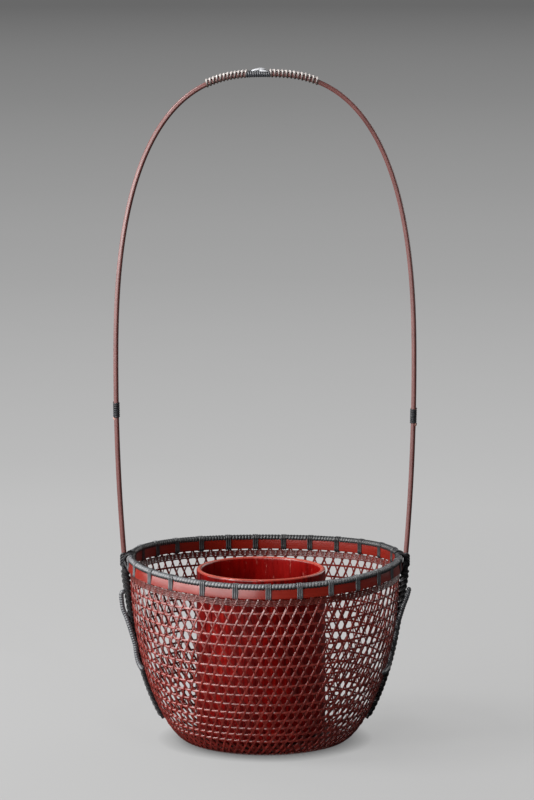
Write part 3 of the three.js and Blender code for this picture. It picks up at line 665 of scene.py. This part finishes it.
WALL_CLIMB, WALL = wall_profile()
PITCH = 2 * math.pi / STRIP_COUNT
TOP_CLIMB, BOTTOM_CLIMB = np.interp((HIGHEST_HOOP, LOWEST_HOOP), WALL[:, 1], WALL_CLIMB)
ROW_CLIMB = (TOP_CLIMB - BOTTOM_CLIMB) / (HOOP_COUNT - 1)


def on_wall(azimuth, climb, lift):
    """Points that stand `lift` off the wall, and the wall's normal there."""
    azimuth, climb, lift = np.broadcast_arrays(azimuth, climb, lift)
    radius, height, out, up = (np.interp(climb, WALL_CLIMB, column) for column in WALL.T)
    ahead = heading(azimuth)
    normal = np.concatenate([ahead * out[..., None], up[..., None]], -1)
    middle = np.concatenate([ahead * radius[..., None], height[..., None]], -1)
    return middle + normal * lift[..., None], normal


RIBBON_EDGE = (0.6, 0.6, 1, 0.4, 0, 0, 0, 0.4, 1)
HOOP_EDGE = (0.6, 0.6, 1, 0.3, 0, 0.3, 1)
# Edge numbers across a peel strand, by which the rattan finish paints shade in the grooves beside it
PEEL_GROOVE_SHADE = (1, 0.5, 0.1, 0, 0.1, 0.5, 1)


def rolled(line, normal, angle, closed=False):
    """The axes of strands whose faces lean up by an angle: both turned about the line."""
    out, across = axes(line, normal, closed)
    lean = angle * np.sign(across[..., 2:])
    return out * np.cos(lean) + across * np.sin(lean), across * np.cos(lean) - out * np.sin(lean)


def leaning_strips(direction):
    """Strips that lean one way. With rows counted in hoops up from the highest one, strip i stands at
    pitch (i + direction (row - 1/2) / 2), and off the wall by direction * (layer + rise * cos(2 pi row)):
    it goes over or under a hoop at whole rows, and under or over a crossing strip half way between. It
    is rolled about itself by STRIP_ROLL, so that its lower edge stands off."""
    bottom, top = (np.array([0, WALL_CLIMB[-1]]) - TOP_CLIMB) / ROW_CLIMB
    row = np.linspace(bottom, top, round((top - bottom) * ROW_STEPS) + 1)
    number = np.arange(STRIP_COUNT)[:, None]
    wander = STRIP_WANDER * (shares(STRIP_COUNT)[:, None] - 0.5)
    azimuth = PITCH * (number + wander + direction * (row - 0.5) / 2)
    lift = direction * (STRIP_LAYER + WEAVE_RISE * np.cos(2 * math.pi * row))
    line, normal = on_wall(azimuth, TOP_CLIMB + row * ROW_CLIMB, lift)
    return settle(carry(ribbon(STRIP_WIDTH, STRIP_THICKNESS), line, *rolled(line, normal, STRIP_ROLL)))


def hoop(number):
    """A hoop, counted down from the rim. It stands off the wall by -rise * cos of the azimuth in
    pitches from a right-leaning strip, so it goes under those and over the left-leaning ones. A
    straight strip bent round stands upright, so it follows only part of the wall's slope."""
    azimuth = circle(STRIP_COUNT * HOOP_STEPS)
    from_strip = azimuth / PITCH + number / 2 + 0.25
    wander = HOOP_WANDER * np.sin(3 * azimuth + 2.4 * number)
    climb = TOP_CLIMB + (wander - number) * ROW_CLIMB
    line, normal = on_wall(azimuth, climb, -HOOP_RISE * np.cos(2 * math.pi * from_strip))
    section = bevelled(HOOP_WIDTH, HOOP_THICKNESS, HOOP_BEVEL)
    roll = HOOP_ROLL - HOOP_UPRIGHT * np.arcsin(normal[:, 2:])
    return settle(carry(section, line, *rolled(line, normal, roll, True)))[None]


def twined_row(climb, rise):
    """A row of two strands that twist round each other and round the strips: both stand off the wall
    by rise * cos and sway along it by sway * sin of one turn per pitch, half a turn apart."""
    azimuth = circle(STRIP_COUNT * HOOP_STEPS)
    turn = azimuth / PITCH * 2 * math.pi + np.array([[0], [math.pi]])
    radius = np.interp(climb, WALL_CLIMB, WALL[:, 0])
    line, normal = on_wall(azimuth, climb + TWINE_SWAY * np.sin(turn) / radius, rise * np.cos(turn))
    return settle(carry(oval(*TWINE_OVAL, 6), line, *axes(line, normal, True)))


for label, direction in (("right", 1), ("left", -1)):
    Piece().grid(leaning_strips(direction), edge=RIBBON_EDGE).lay(
        f"{label}_strips", STRIPS, "smoked_bamboo", f"{label}_leaning_strips"
    )
# Hoop tones are lifted above the strips' tones, so the hoops read paler: a painted sheen over their random
# tone
for hoop_number, hoop_tone in enumerate(shares(HOOP_COUNT)):
    label = f"{hoop_number + 1:02d}"
    Piece().grid(hoop(hoop_number), True, HOOP_EDGE, HOOP_TONE_AND_SHEEN + (1 - HOOP_TONE_AND_SHEEN) * hoop_tone).lay(
        f"hoop_{label}", STRIPS, "smoked_bamboo", f"weave_hoop_{label}"
    )
rim_twining = Piece()
for height in TWINE_HEIGHTS:
    rim_twining.grid(twined_row(np.interp(height, WALL[:, 1], WALL_CLIMB), TWINE_RISE), True)
rim_twining.lay("rim_twining", TWINE, "smoked_bamboo")
base_row = twined_row(BASE_TWINE_CLIMB, BASE_TWINE_RISE)
Piece().grid(base_row, True).lay("base_twining", STRIPS, "smoked_bamboo")


# Base

def mat_strips(family):
    """Straight strips of one of three directions, 120 degrees apart, across the round base. A strip
    rises by rise * cos of its distance, in pitches, from the strips of the next direction."""
    turns = 2 * math.pi / 3 * (np.arange(3) + family)
    across, following = np.stack([np.cos(turns), np.sin(turns), 0 * turns], -1)[:2]
    along = np.array([-across[1], across[0], 0])
    most = math.floor(MAT_RADIUS / MAT_PITCH)
    distance = (np.arange(-most, most + 1) + MAT_SHIFT) * MAT_PITCH
    distance = distance[np.abs(distance) < MAT_RADIUS - MAT_STRIP]
    half = np.sqrt(MAT_RADIUS**2 - (np.abs(distance) + MAT_STRIP / 2) ** 2)
    way = np.linspace(-1, 1, MAT_STEPS)[None, :, None] * half[:, None, None]
    line = distance[:, None, None] * across + way * along
    phase = (line @ following) / MAT_PITCH - MAT_SHIFT
    line[..., 2] = MAT_HEIGHT + MAT_RISE * np.cos(2 * math.pi * phase)
    return carry(ribbon(MAT_STRIP, STRIP_THICKNESS), line, *axes(line, UP))


def ring(section, segments=180):
    """A section of (out, up) numbers swept once round the axis, and settled with the body."""
    ahead = heading(circle(segments))[:, None]
    heights = np.broadcast_to(section[:, 1:], (segments, len(section), 1))
    return settle(np.concatenate([ahead * section[:, :1], heights], -1))[None]


base_mat = Piece()
for family in range(3):
    base_mat.grid(mat_strips(family), edge=RIBBON_EDGE)
base_mat.lay("base_weave", STRIPS, "smoked_bamboo", "base_mat")

foot_section = board(FOOT_OUTER - FOOT_INNER, FOOT_TOP, FOOT_FILLET)
foot_section = foot_section + ((FOOT_OUTER + FOOT_INNER) / 2, FOOT_TOP / 2)
Piece().grid(ring(foot_section), True, tone=0.3).lay("foot_ring", STRIPS, "smoked_bamboo", "foot_hoop")

for label, step in (("front", -1), ("middle", 0), ("back", 1)):
    place, height = BATTEN_SPACING * step, (BATTEN_BOTTOM + BATTEN_TOP) / 2
    reach = math.sqrt((MAT_RADIUS - BATTEN_INSET) ** 2 - (abs(place) + BATTEN_WIDTH / 2) ** 2)
    line = np.linspace((-reach, place, height), (reach, place, height), BATTEN_STEPS)
    section = board(BATTEN_WIDTH, BATTEN_TOP - BATTEN_BOTTOM, BATTEN_FILLET)
    Piece().grid(carry(section, line, *axes(line, UP))[None], tone=0.5 + 0.2 * step).lay(
        f"{label}_slat", BANDS, "rim_bamboo", f"{label}_batten"
    )


# Rim

def band(inner, lean):
    """A bent band with soft edges. Its outer face may lean in towards its top, with a low crown."""
    section = board(BAND_THICKNESS, BAND_HEIGHT, BAND_FILLET, 9)
    up = 2 * section[:, 1] / BAND_HEIGHT
    section[:, 0] += np.where(section[:, 0] > 0, BAND_CROWN * (1 - up * up) - lean * up, 0)
    return ring(section + (inner + BAND_THICKNESS / 2, WALL_TOP + BAND_LIFT + BAND_HEIGHT / 2), 240)


def rim_point(azimuth, across, height):
    """A point of the rim `across` outside its middle circle."""
    radius = RIM_RADIUS + across
    return np.stack(np.broadcast_arrays(radius * np.cos(azimuth), radius * np.sin(azimuth), height), -1)


def rim_coil():
    """Peel coiled round the core: an oval that turns COIL_TURNS times on one way round the rim, drawn in
    under the bindings. Its underside and its inner side are painted darker, as painted shade."""
    azimuth = circle(COIL_TURNS * TURN_STEPS)
    turn = COIL_TURNS * azimuth
    from_binding = azimuth[:, None] + math.pi / 2 - np.radians(BINDINGS)
    gap = RIM_RADIUS * np.abs((from_binding + math.pi) % (2 * math.pi) - math.pi).min(1)
    tuck = 1 - COIL_TUCK + COIL_TUCK * smoothstep(gap, *TUCK_ENDS)
    rise = COIL_RISE * np.sin(turn)
    line = rim_point(azimuth, tuck * COIL_REACH * np.cos(turn), COIL_HEIGHT + tuck * rise)
    normal = line - rim_point(azimuth, 0, COIL_HEIGHT + COIL_HUB_LIFT)
    points = carry(peel(COIL_STRAND, COIL_THICKNESS), line, *axes(line, normal, True))[None]
    # Painted shade on the underside and the inner side of each turn
    painted_shade = smoothstep(np.maximum(-np.sin(turn), -np.cos(turn)), *COIL_PAINTED_SHADE)
    return settle(points), painted_shade[:, None]


def bindings():
    """Three strands side by side at each binding, each a closed loop over the coil, down the outer
    band, under both bands and up the inner one, which is painted darker, as painted shade."""
    inside = [(-across, height) for across, height in BINDING_ROUTE[-2:0:-1]]
    loop = smooth([*BINDING_ROUTE, *inside], 48, True)
    middle = np.radians(BINDINGS) - math.pi / 2
    strands = middle[:, None] + np.array([-1, 0, 1]) * (BINDING_STRAND / RIM_RADIUS)
    azimuth = strands.reshape(-1, 1)
    line = rim_point(azimuth, loop[:, 0], loop[:, 1])
    hub = rim_point(azimuth, 0, np.clip(loop[:, 1], *BINDING_HUB))
    points = carry(peel(BINDING_STRAND, BINDING_THICKNESS), line, *axes(line, line - hub, True))
    # Painted shade on the inner side of each loop
    return settle(points), smoothstep(-loop[:, :1], *BINDING_PAINTED_SHADE)


for label, inner, lean, band_tone in (
    ("inner", RIM_RADIUS - CLAMP_GAP / 2 - BAND_THICKNESS, 0, 0.35),
    ("outer", RIM_RADIUS + CLAMP_GAP / 2, BAND_LEAN, 0.6),
):
    Piece().grid(band(inner, lean), True, tone=band_tone).lay(
        f"{label}_band", BANDS, "rim_bamboo", f"{label}_rim_band"
    )
core_section = oval(*CORE_OVAL, 12) + (RIM_RADIUS, COIL_HEIGHT + CORE_LIFT)
# The core takes the black rattan finish, so that where it shows between the coil's turns it reads as
# painted shade
Piece().grid(ring(core_section, 160), True, tone=0.4).lay("coil_core", BLACK, "rim_bamboo", "rim_core")
rim_wrap = Piece()
# The coil and the bindings carry painted shade on their undersides and inner sides, besides the grooves'
# painted shade
for (strand, painted_shade), strand_tone in ((rim_coil(), 0.8), (bindings(), 0.4)):
    rim_wrap.grid(strand, True, np.maximum(PEEL_GROOVE_SHADE, painted_shade), strand_tone)
rim_wrap.lay("rim_coil", COIL, "dark_rattan", "rim_wrap")


# Handle

def leg_reach(height):
    """Half of the handle's width between the rim and the spring line: a parabola."""
    drop = (SPRING_HEIGHT - height) / (SPRING_HEIGHT - WRAP_TOP)
    return HANDLE_HALF_SPAN - (HANDLE_HALF_SPAN - RIM_REACH) * drop**2


class Line:
    """A line in the plane of the handle, with its length so far and the way out of the handle."""

    def __init__(self, points, step):
        self.points = even_steps(points, step)
        self.length = np.arange(len(self.points)) * np.linalg.norm(self.points[1] - self.points[0])
        along = unit(np.gradient(self.points, axis=0))
        out = np.stack([along[:, 2], 0 * along[:, 0], -along[:, 0]], -1)
        away = np.sum(out * (self.points - HANDLE_MIDDLE), 1, keepdims=True)
        self.out = out * np.sign(away)
        self.across = np.cross(along, self.out)

    def at(self, length):
        """Point, out and across at distances along the line."""
        columns = [self.points, self.out, self.across]
        return [np.stack([np.interp(length, self.length, axis) for axis in c.T], -1) for c in columns]

    def length_at(self, axis, value):
        """How far along the line one of its coordinates passes a value."""
        way = self.points[:, axis]
        rising = 1 if way[-1] > way[0] else -1
        return np.interp(rising * value, rising * way, self.length)


def arch_line():
    """The arch: legs up to the spring line, and a superellipse over them."""
    left, right = (np.linspace(JOINT_HEIGHT[side], SPRING_HEIGHT, 40)[:-1] for side in (-1, 1))
    turn = np.linspace(math.pi, 0, 4001)
    across = np.sign(np.cos(turn)) * np.abs(np.cos(turn)) ** (2 / ARCH_POWER)
    rise = np.abs(np.sin(turn)) ** (2 / ARCH_POWER)
    x = np.concatenate([-leg_reach(left), HANDLE_HALF_SPAN * across, leg_reach(right)[::-1]])
    z = np.concatenate([left, SPRING_HEIGHT + (HANDLE_HEIGHT - SPRING_HEIGHT) * rise, right[::-1]])
    return Line(np.stack([x, 0 * x, z], -1), ARCH_STEP)


def stem_line(side):
    """A leg from its splice down past the rim, in to the wall and along the outside of it."""
    upper = np.linspace(JOINT_HEIGHT[side], WRAP_TOP, 12)
    waist = np.array(RIB_WAIST)
    lower = np.linspace(RIB_START, RIB_END, 9)
    radius, out, up = (np.interp(lower, WALL[:, 1], WALL[:, column]) for column in (0, 2, 3))
    x = np.concatenate([leg_reach(upper), waist[:, 1], radius + RIB_STANDOFF * out])
    z = np.concatenate([upper, waist[:, 0], lower + RIB_STANDOFF * up])
    return Line(smooth(np.stack([side * x, 0 * x, z], -1), 900), STEM_STEP)


def rod(line, depth):
    """A split rod, planed to a rounded square whose face turns a little to the left and up, that goes
    over into a round rib below the rim. Its section is the superellipse |cos|^n + |sin|^n = (side / r)^n,
    where n goes from ROD_POWER to 2, drawn out to `depth` away from the handle's middle."""
    planed = smoothstep(line.points[:, 2:], *PLANED_ENDS)
    power = 2 + (ROD_POWER - 2) * planed
    side = ROD_RADIUS + (ROD_SIDE - ROD_RADIUS) * planed
    turn = circle(ROD_SIDES)
    face = turn + planed * (ROD_TURN * line.out[:, :1] - ROD_TIP * line.out[:, 2:])
    reach = side * (np.abs(np.cos(face)) ** power + np.abs(np.sin(face)) ** power) ** (-1 / power)
    section = np.stack([reach * np.cos(turn), reach * np.sin(turn) * depth[:, None] / ROD_RADIUS], -1)
    return carry(section, line.points, line.out, FRONT)[None]


def wind(line, span, turns, depth, breadth, shift, section, phase=0.0):
    """A strand wound round a line between two distances. It runs on an oval that reaches `depth` out
    and `breadth` across from a middle that lies `shift` outside the line. Each is one number, or one
    for each point of the line."""
    share = np.linspace(0, 1, round(abs(turns) * TURN_STEPS) + 1)
    way = span[0] + (span[1] - span[0]) * share
    point, out, across = line.at(way)
    sizes = [np.broadcast_to(size, line.length.shape) for size in (depth, breadth, shift)]
    depth, breadth, shift = (np.interp(way, line.length, size)[:, None] for size in sizes)
    turn = (phase + 2 * math.pi * turns * share)[:, None]
    middle = point + out * (shift + depth * np.cos(turn)) + across * (breadth * np.sin(turn))
    normal = out * (breadth * np.cos(turn)) + across * (depth * np.sin(turn))
    return carry(section, middle, *axes(middle, unit(normal)))[None]


def rim_lashing(side):
    """Two crossed sets of strands that hold a leg to the rim. Each strand is a closed loop over
    the coil on one side of the leg, across the leg, under the bands on its other side and up inside."""
    loop = smooth(LASHING_ROUTE, 78, True)
    on_leg = smoothstep(loop[:, 0], *ON_LEG)
    strands = []
    for cross in (-1, 1):
        for slide in LASHING_SLIDES:
            out = loop[:, 0] + (LASHING_CROSSING * on_leg if cross > 0 else 0)
            beside = cross * (loop[:, 1] + slide * (1 - on_leg))
            strands.append(np.stack([out, beside, loop[:, 2] + slide * LASHING_SPREAD * on_leg], -1))
    line = np.array(strands)
    out, beside, height = np.moveaxis(line, -1, 0)
    hub_out, hub_height = (np.clip(part, *ends) for part, ends in zip((out, height), LASHING_HUB))
    hub = np.stack([hub_out, LASHING_HUB_BREADTH * beside, hub_height], -1)
    points = carry(peel(LASHING_STRAND, STRAND_THICKNESS), line, *axes(line, line - hub, True))
    return points * (side, 1, 1) + (side * RIM_RADIUS, 0, 0)


def ear(side):
    """A wound rod that stands out from the rib at its top, comes in to the wall in front of the rib and
    ends along the wall. Its radius swells and dips with the turns of its winding, and closes in a half
    circle at both ends."""
    height, reach, place = np.array(EAR_ROUTES[side]).T
    line = smooth(np.stack([side * reach, place, height], -1), 400)
    line = even_steps(line, EAR_COIL_PITCH / 8)
    away = unit(line * (1, 1, 0))
    way = np.arange(len(line)) * np.linalg.norm(line[1] - line[0])
    from_end = np.minimum(way, way[-1] - way) / EAR_RADIUS
    taper = np.sqrt(np.clip(1 - (1 - np.minimum(from_end, 1)) ** 2, 0.02, 1))
    turn = circle(ROUND_SIDES)
    ridge = np.abs(np.sin(math.pi * way[:, None] / EAR_COIL_PITCH + side * turn / 2))
    swell = EAR_RADIUS * taper[:, None] * (1 - EAR_GROOVE + EAR_GROOVE * np.sqrt(ridge))
    points = carry(swell[..., None] * heading(turn), line, *axes(line, away))
    # The second array, highest in the grooves between the turns, is painted there as shade by the finish
    return points[None], 1 - ridge**0.7


def scarf_end(line, start):
    """The cut end of the arch rod below a splice: an oval on the outside of the leg that shrinks as
    the root of 1 - share^2."""
    share = np.linspace(0, 0.99, 10)
    turn = circle(ROUND_SIDES)
    swell = SCARF_RADIUS * np.sqrt(1 - share**2)[:, None]
    section = np.stack([swell * np.sin(turn), SCARF_SHIFT + swell * np.cos(turn)], -1)
    return carry(section, *line.at(start + SCARF_LENGTH * share))[None]


arch = arch_line()
Piece().grid(rod(arch, np.full(len(arch.points), ROD_RADIUS)), tone=0.55).lay(
    "arch_rod", RODS, "handle_bamboo", "handle_arch"
)

splice_turns = {
    "turns": JOINT_TURNS / 2, "depth": ROD_RADIUS + JOINT_LIFT, "breadth": ROD_RADIUS + JOINT_LIFT,
    "shift": 0, "section": peel(JOINT_STRAND, STRAND_THICKNESS),
}
waist = np.array(RIB_WAIST)[::-1]
for label, side in SIDES:
    stem = stem_line(side)
    depth = np.interp(stem.points[:, 2], waist[:, 0], waist[:, 2])
    Piece().grid(rod(stem, depth), tone=0.45).lay(
        f"{label}_leg", RODS, "handle_bamboo", f"{label}_stem"
    )

    joint = stem.length_at(2, JOINT_HEIGHT[side] - JOINT_LENGTH / 2)
    arch_end = 0.0 if side < 0 else arch.length[-1]
    binding = Piece()
    for wound, span in ((stem, (0, joint)), (arch, (arch_end, arch_end - side * JOINT_LENGTH / 2))):
        binding.grid(wind(wound, span, **splice_turns))
    binding.lay(f"{label}_splice", BLACK, "dark_rattan", f"{label}_joint_binding")
    Piece().grid(scarf_end(stem, joint), tone=0.6).lay(f"{label}_scarf_end", CUT, "handle_bamboo")

    Piece().grid(rim_lashing(side), True, PEEL_GROOVE_SHADE).lay(
        f"{label}_rim_cross", BLACK, "dark_rattan", f"{label}_rim_lashing"
    )

    lashed = [stem.length_at(2, height) for height in RIB_LASHED]
    lashing = Piece()
    for start in range(RIB_STARTS):
        turns = wind(
            stem, lashed, side * RIB_TURNS, depth + RIB_DEPTH_LIFT, ROD_RADIUS + RIB_BREADTH_LIFT, 0,
            peel(*RIB_PEEL), 2 * math.pi * start / RIB_STARTS,
        )
        lashing.grid(turns, edge=PEEL_GROOVE_SHADE, tone=0.15 * start + 0.2)
    lashing.lay(f"{label}_rib_turns", BLACK, "dark_rattan", f"{label}_rib_lashing")

    coil, groove_shade = ear(side)
    Piece().grid(coil, edge=groove_shade, tone=0.8).lay(f"{label}_ear_coil", DARK, "dark_rattan", f"{label}_ear")


# Grip

crown = arch.length_at(0, 0)
open_turns = {"depth": 3.2, "breadth": 2.6, "shift": 0.68, "section": peel(1.9, 1.1)}
close_turns = {"depth": 2.75, "breadth": 2.6, "shift": 0.25, "section": peel(1.95, 0.7)}

spine_way = np.linspace(GRIP_ENDS[-1] + SPINE_INSET, GRIP_ENDS[1] - SPINE_INSET, SPINE_STEPS)
spine_lift = smoothstep(np.abs(spine_way - GRIP_MIDDLE), *SPINE_RAMP)[:, None] * (SPINE_GAP + SPINE_SINK)
point, out, across = arch.at(crown + spine_way)
spine_middle = point + out * (ROD_RADIUS - SPINE_SINK + spine_lift + SPINE_HEIGHT / 2)
spine = carry(board(SPINE_WIDTH, SPINE_HEIGHT, SPINE_FILLET), spine_middle, out, across)
Piece().grid(spine[None], tone=0.6).lay("grip_strip", GRIP, "dark_rattan", "grip_spine")

for label, side in SIDES:
    span = (crown + GRIP_MIDDLE + side * GRIP_DENSE, crown + GRIP_ENDS[side])
    turns = wind(arch, span, GRIP_TURNS[side], **open_turns)
    up = np.cos(2 * math.pi * GRIP_TURNS[side] * np.linspace(0, 1, turns.shape[1]))
    # Painted shade: each turn is darker as it faces down, so that its top reads lit
    turn_shade = np.maximum(PEEL_GROOVE_SHADE, smoothstep(-up, *DOWN_FACING_SHADE)[:, None])
    Piece().grid(turns, edge=turn_shade, tone=0.9).lay(
        f"{label}_grip_turns", GRIP, "dark_rattan", f"{label}_grip_winding"
    )

middle_span = [crown + GRIP_MIDDLE + side * (GRIP_DENSE + MIDDLE_OVERLAP) for side in (-1, 1)]
Piece().grid(wind(arch, middle_span, MIDDLE_TURNS, **close_turns), edge=PEEL_GROOVE_SHADE, tone=0.4).lay(
    "middle_turns", DARK, "dark_rattan", "knot_binding"
)


def lobe(length, breadth, thickness, place, turn, lean):
    """A lobe of the knot: an oval section that narrows to both tips as powers of 1 - u^2, turned in plan,
    bowed down to both tips and leaning up along itself."""
    share = np.linspace(-0.995, 0.995, 33)
    narrow = 1 - share**2
    angle = circle(LOBE_SIDES)
    x = np.repeat(share[:, None] * length / 2, LOBE_SIDES, 1)
    y = (breadth / 2 * narrow**0.75)[:, None] * np.cos(angle)
    z = (thickness / 2 * narrow**0.5)[:, None] * np.sin(angle) + lean * x - LOBE_BOW * x * x
    c, s = math.cos(turn), math.sin(turn)
    middle = np.add((GRIP_MIDDLE, 0, KNOT_HEIGHT), place)
    return np.stack([x * c - y * s, x * s + y * c, z], -1)[None] + middle


knot = Piece()
for *form, lobe_tone in KNOT_LOBES:
    knot.grid(lobe(*form), tone=lobe_tone)
knot.lay("grip_knot", PALE, "pale_rattan", "knot")


# Water tube

def water_tube():
    """A lathe round a profile that goes up outside from a chamfer, over a round lip and down inside. The
    culm is not quite round: its radius varies by a few thousandths with two and three waves."""
    lip = np.linspace(0, math.pi, 13)
    middle = TUBE_RADIUS - TUBE_WALL / 2
    inner = TUBE_RADIUS - TUBE_WALL
    floor = TUBE_BOTTOM + TUBE_FLOOR
    foot = np.linspace(0, 1, 5)
    runs = (
        (np.linspace(TUBE_HUB, TUBE_RADIUS - TUBE_FOOT - 0.4, 6), TUBE_BOTTOM),
        (TUBE_RADIUS - TUBE_FOOT * (1 - foot), TUBE_BOTTOM + TUBE_FOOT * foot),
        (TUBE_RADIUS, np.linspace(TUBE_BOTTOM + TUBE_FOOT + 0.5, TUBE_TOP - TUBE_NECK, 18)),
        (middle + TUBE_WALL / 2 * np.cos(lip), TUBE_TOP - TUBE_EDGE * (1 - np.sin(lip))),
        (inner, np.linspace(TUBE_TOP - TUBE_NECK, floor + TUBE_NECK, 18)),
        (np.linspace(inner - 1, TUBE_HUB, 7), floor),
    )
    profile = np.concatenate([np.stack(np.broadcast_arrays(*run), -1) for run in runs])
    azimuth = circle(TUBE_SEGMENTS)
    two, three = TUBE_WAVES
    wave = 1 + two * np.cos(2 * azimuth + 0.7) + three * np.cos(3 * azimuth) - two
    ahead = heading(azimuth) * wave[:, None]
    heights = np.broadcast_to(profile[:, None, 1:], (len(profile), TUBE_SEGMENTS, 1))
    points = np.concatenate([ahead[None] * profile[:, None, :1], heights], -1)
    return points[None] + (TUBE_PLACE, 0, 0)


tube = water_tube()
rows = np.arange(tube.shape[1])
first, last = LIP_ROWS
tube_tone = np.interp(rows, (first - 1, last + 1), (0, 1))[:, None]
# Paler lip: wear and a painted highlight
lip_wear_and_highlight = np.interp(rows, (first, (first + last) / 2, last), (0, 1, 0))[:, None]
Piece().grid(tube, edge=lip_wear_and_highlight, tone=tube_tone).lay(
    "lacquered_tube", LACQUER, "red_lacquer", "water_tube", body="tube"
)


# Floor, light and camera

def sheet(name, half, height, finish):
    """A flat square that lies round the origin, and is no part of the object."""
    mesh = bpy.data.meshes.new(name)
    corners = [(x * half, y * half, height) for x, y in ((-1, -1), (1, -1), (1, 1), (-1, 1))]
    mesh.from_pydata(corners, [], [(0, 1, 2, 3)])
    mesh.materials.append(finish)
    made = add(name, mesh)
    return made


FLOOR_HALF = 60
PAPER_REACH = 12
PAPER_GLOW = 0.75
# Metres from the basket: where the painted shadow under it ends, and where the lamps stop counting
PAINTED_SHADOW_ENDS = (0.055, 0.095)
LAMP_ENDS = (0.4, 1.5)
CARD_HALF = 4
CARD_LIFT = 0.002
# Metres from the basket, and the floor's grey there, painted darker outward as the light falls off
FLOOR_GREYS = (
    (0, 0.5), (0.6, 0.505), (1.21, 0.512), (1.54, 0.491), (2.34, 0.44), (3.42, 0.371), (4.98, 0.31),
    (7.39, 0.235), (9.19, 0.198), (11.66, 0.136),
)


def paper():
    """Pale grey paper with a faint mottle, painted darker away from the basket as the light falls off. It
    glows as painted light, all of it far off and part of it near by, so that the shadows on it stay soft,
    but not under the basket: the glow fades there, a painted shadow."""
    finish = Finish("paper", Roughness=0.85, Specular_IOR_Level=0.1)
    away = finish.node("ShaderNodeVectorMath", {0: finish.where()}, "Value", operation="LENGTH")
    near, far = (
        finish.node("ShaderNodeMapRange", {"Value": away, "From Min": low, "From Max": high})
        for low, high in (PAINTED_SHADOW_ENDS, LAMP_ENDS)
    )
    mottle = finish.noise(finish.place(140, 140, 140), 2)
    stops = [(distance / PAPER_REACH, (grey,) * 3) for distance, grey in FLOOR_GREYS]
    colour = finish.ramp(away * (1 / PAPER_REACH) + mottle * 0.006, *stops)
    lamplit = (1 - far) * (1 - PAPER_GLOW)
    lit = finish.mix(lamplit, (0, 0, 0), colour)
    # Painted light: the glow, which fades out under the basket as a painted shadow
    glow = finish.mix((1 - lamplit) * near, (0, 0, 0), colour)
    finish.feed(Base_Color=lit, Emission_Color=glow, Emission_Strength=1)
    return finish.material


sheet("floor", FLOOR_HALF, 0, paper())

# A dark card on the floor, which only the object's gloss and the bounced light see
CARD_GREY = Finish("dark_card", Base_Color=(0.03, 0.03, 0.03, 1), Roughness=1, Specular_IOR_Level=0)
card = sheet("dark_card", CARD_HALF, CARD_LIFT, CARD_GREY.material)
card.visible_camera = False
card.visible_shadow = False


def softbox(name, place, height, size, power, colour=(1, 0.99, 0.98)):
    """A flat lamp that faces a height on the basket's axis."""
    data = bpy.data.lights.new(name, "AREA")
    data.shape = "RECTANGLE"
    data.size, data.size_y = size
    data.energy = power
    data.color = colour
    lamp = add(name, data)
    lamp.visible_camera = False
    aim = np.subtract((0, 0, height), place)
    yaw = math.atan2(aim[1], aim[0]) - math.pi / 2
    pitch = math.atan2(aim[2], math.hypot(aim[0], aim[1]))
    lamp.location = place
    lamp.rotation_euler = (math.pi / 2 + pitch, 0, yaw)
    return lamp


softbox("key", (-1.34, -1.49, 0.72), 0.25, (2.9, 1.3), 69)
softbox("spark", (-1.5, -1.1, 0.6), 0.1, (0.45, 0.45), 8)
softbox("side", (-2.0, 0.1, 0.55), 0.25, (1.5, 1.0), 26)
softbox("overhead", (-1.3, -0.3, 1.75), 0.1, (0.8, 0.8), 36, (1, 1, 1))
softbox("front", (0.1, -0.9, 2.0), 0.1, (0.4, 0.4), 7, (1, 1, 1))
softbox("fill", (1.4, 1.4, 1.0), 0.3, (2.0, 1.6), 12)
rear = softbox("rear", (-1.2, 2.0, 1.0), 0.2, (1.8, 1.2), 46)
rear.visible_glossy = False

WORLD_GREY = (0.5, 0.5, 0.51, 1)
WORLD_STRENGTH = 0.14
world = bpy.data.worlds.new("studio")
world.use_nodes = True
background = world.node_tree.nodes["Background"]
background.inputs["Color"].default_value = WORLD_GREY
background.inputs["Strength"].default_value = WORLD_STRENGTH
scene.world = world
scene.view_settings.view_transform = "Standard"

CAMERA_PLACE = (0.00174, -3.6, 0.84)
CAMERA_DROP = math.atan2(0.54, 3.6)
FOCAL_PIXELS = 4192
FRAME_HEIGHT = 800
SENSOR_WIDTH = 36
camera_data = bpy.data.cameras.new("camera")
camera_data.sensor_width = SENSOR_WIDTH
camera_data.lens = FOCAL_PIXELS / FRAME_HEIGHT * SENSOR_WIDTH
camera = add("camera", camera_data)
camera.location = CAMERA_PLACE
camera.rotation_euler = (math.pi / 2 - CAMERA_DROP, 0, 0)
scene.camera = camera
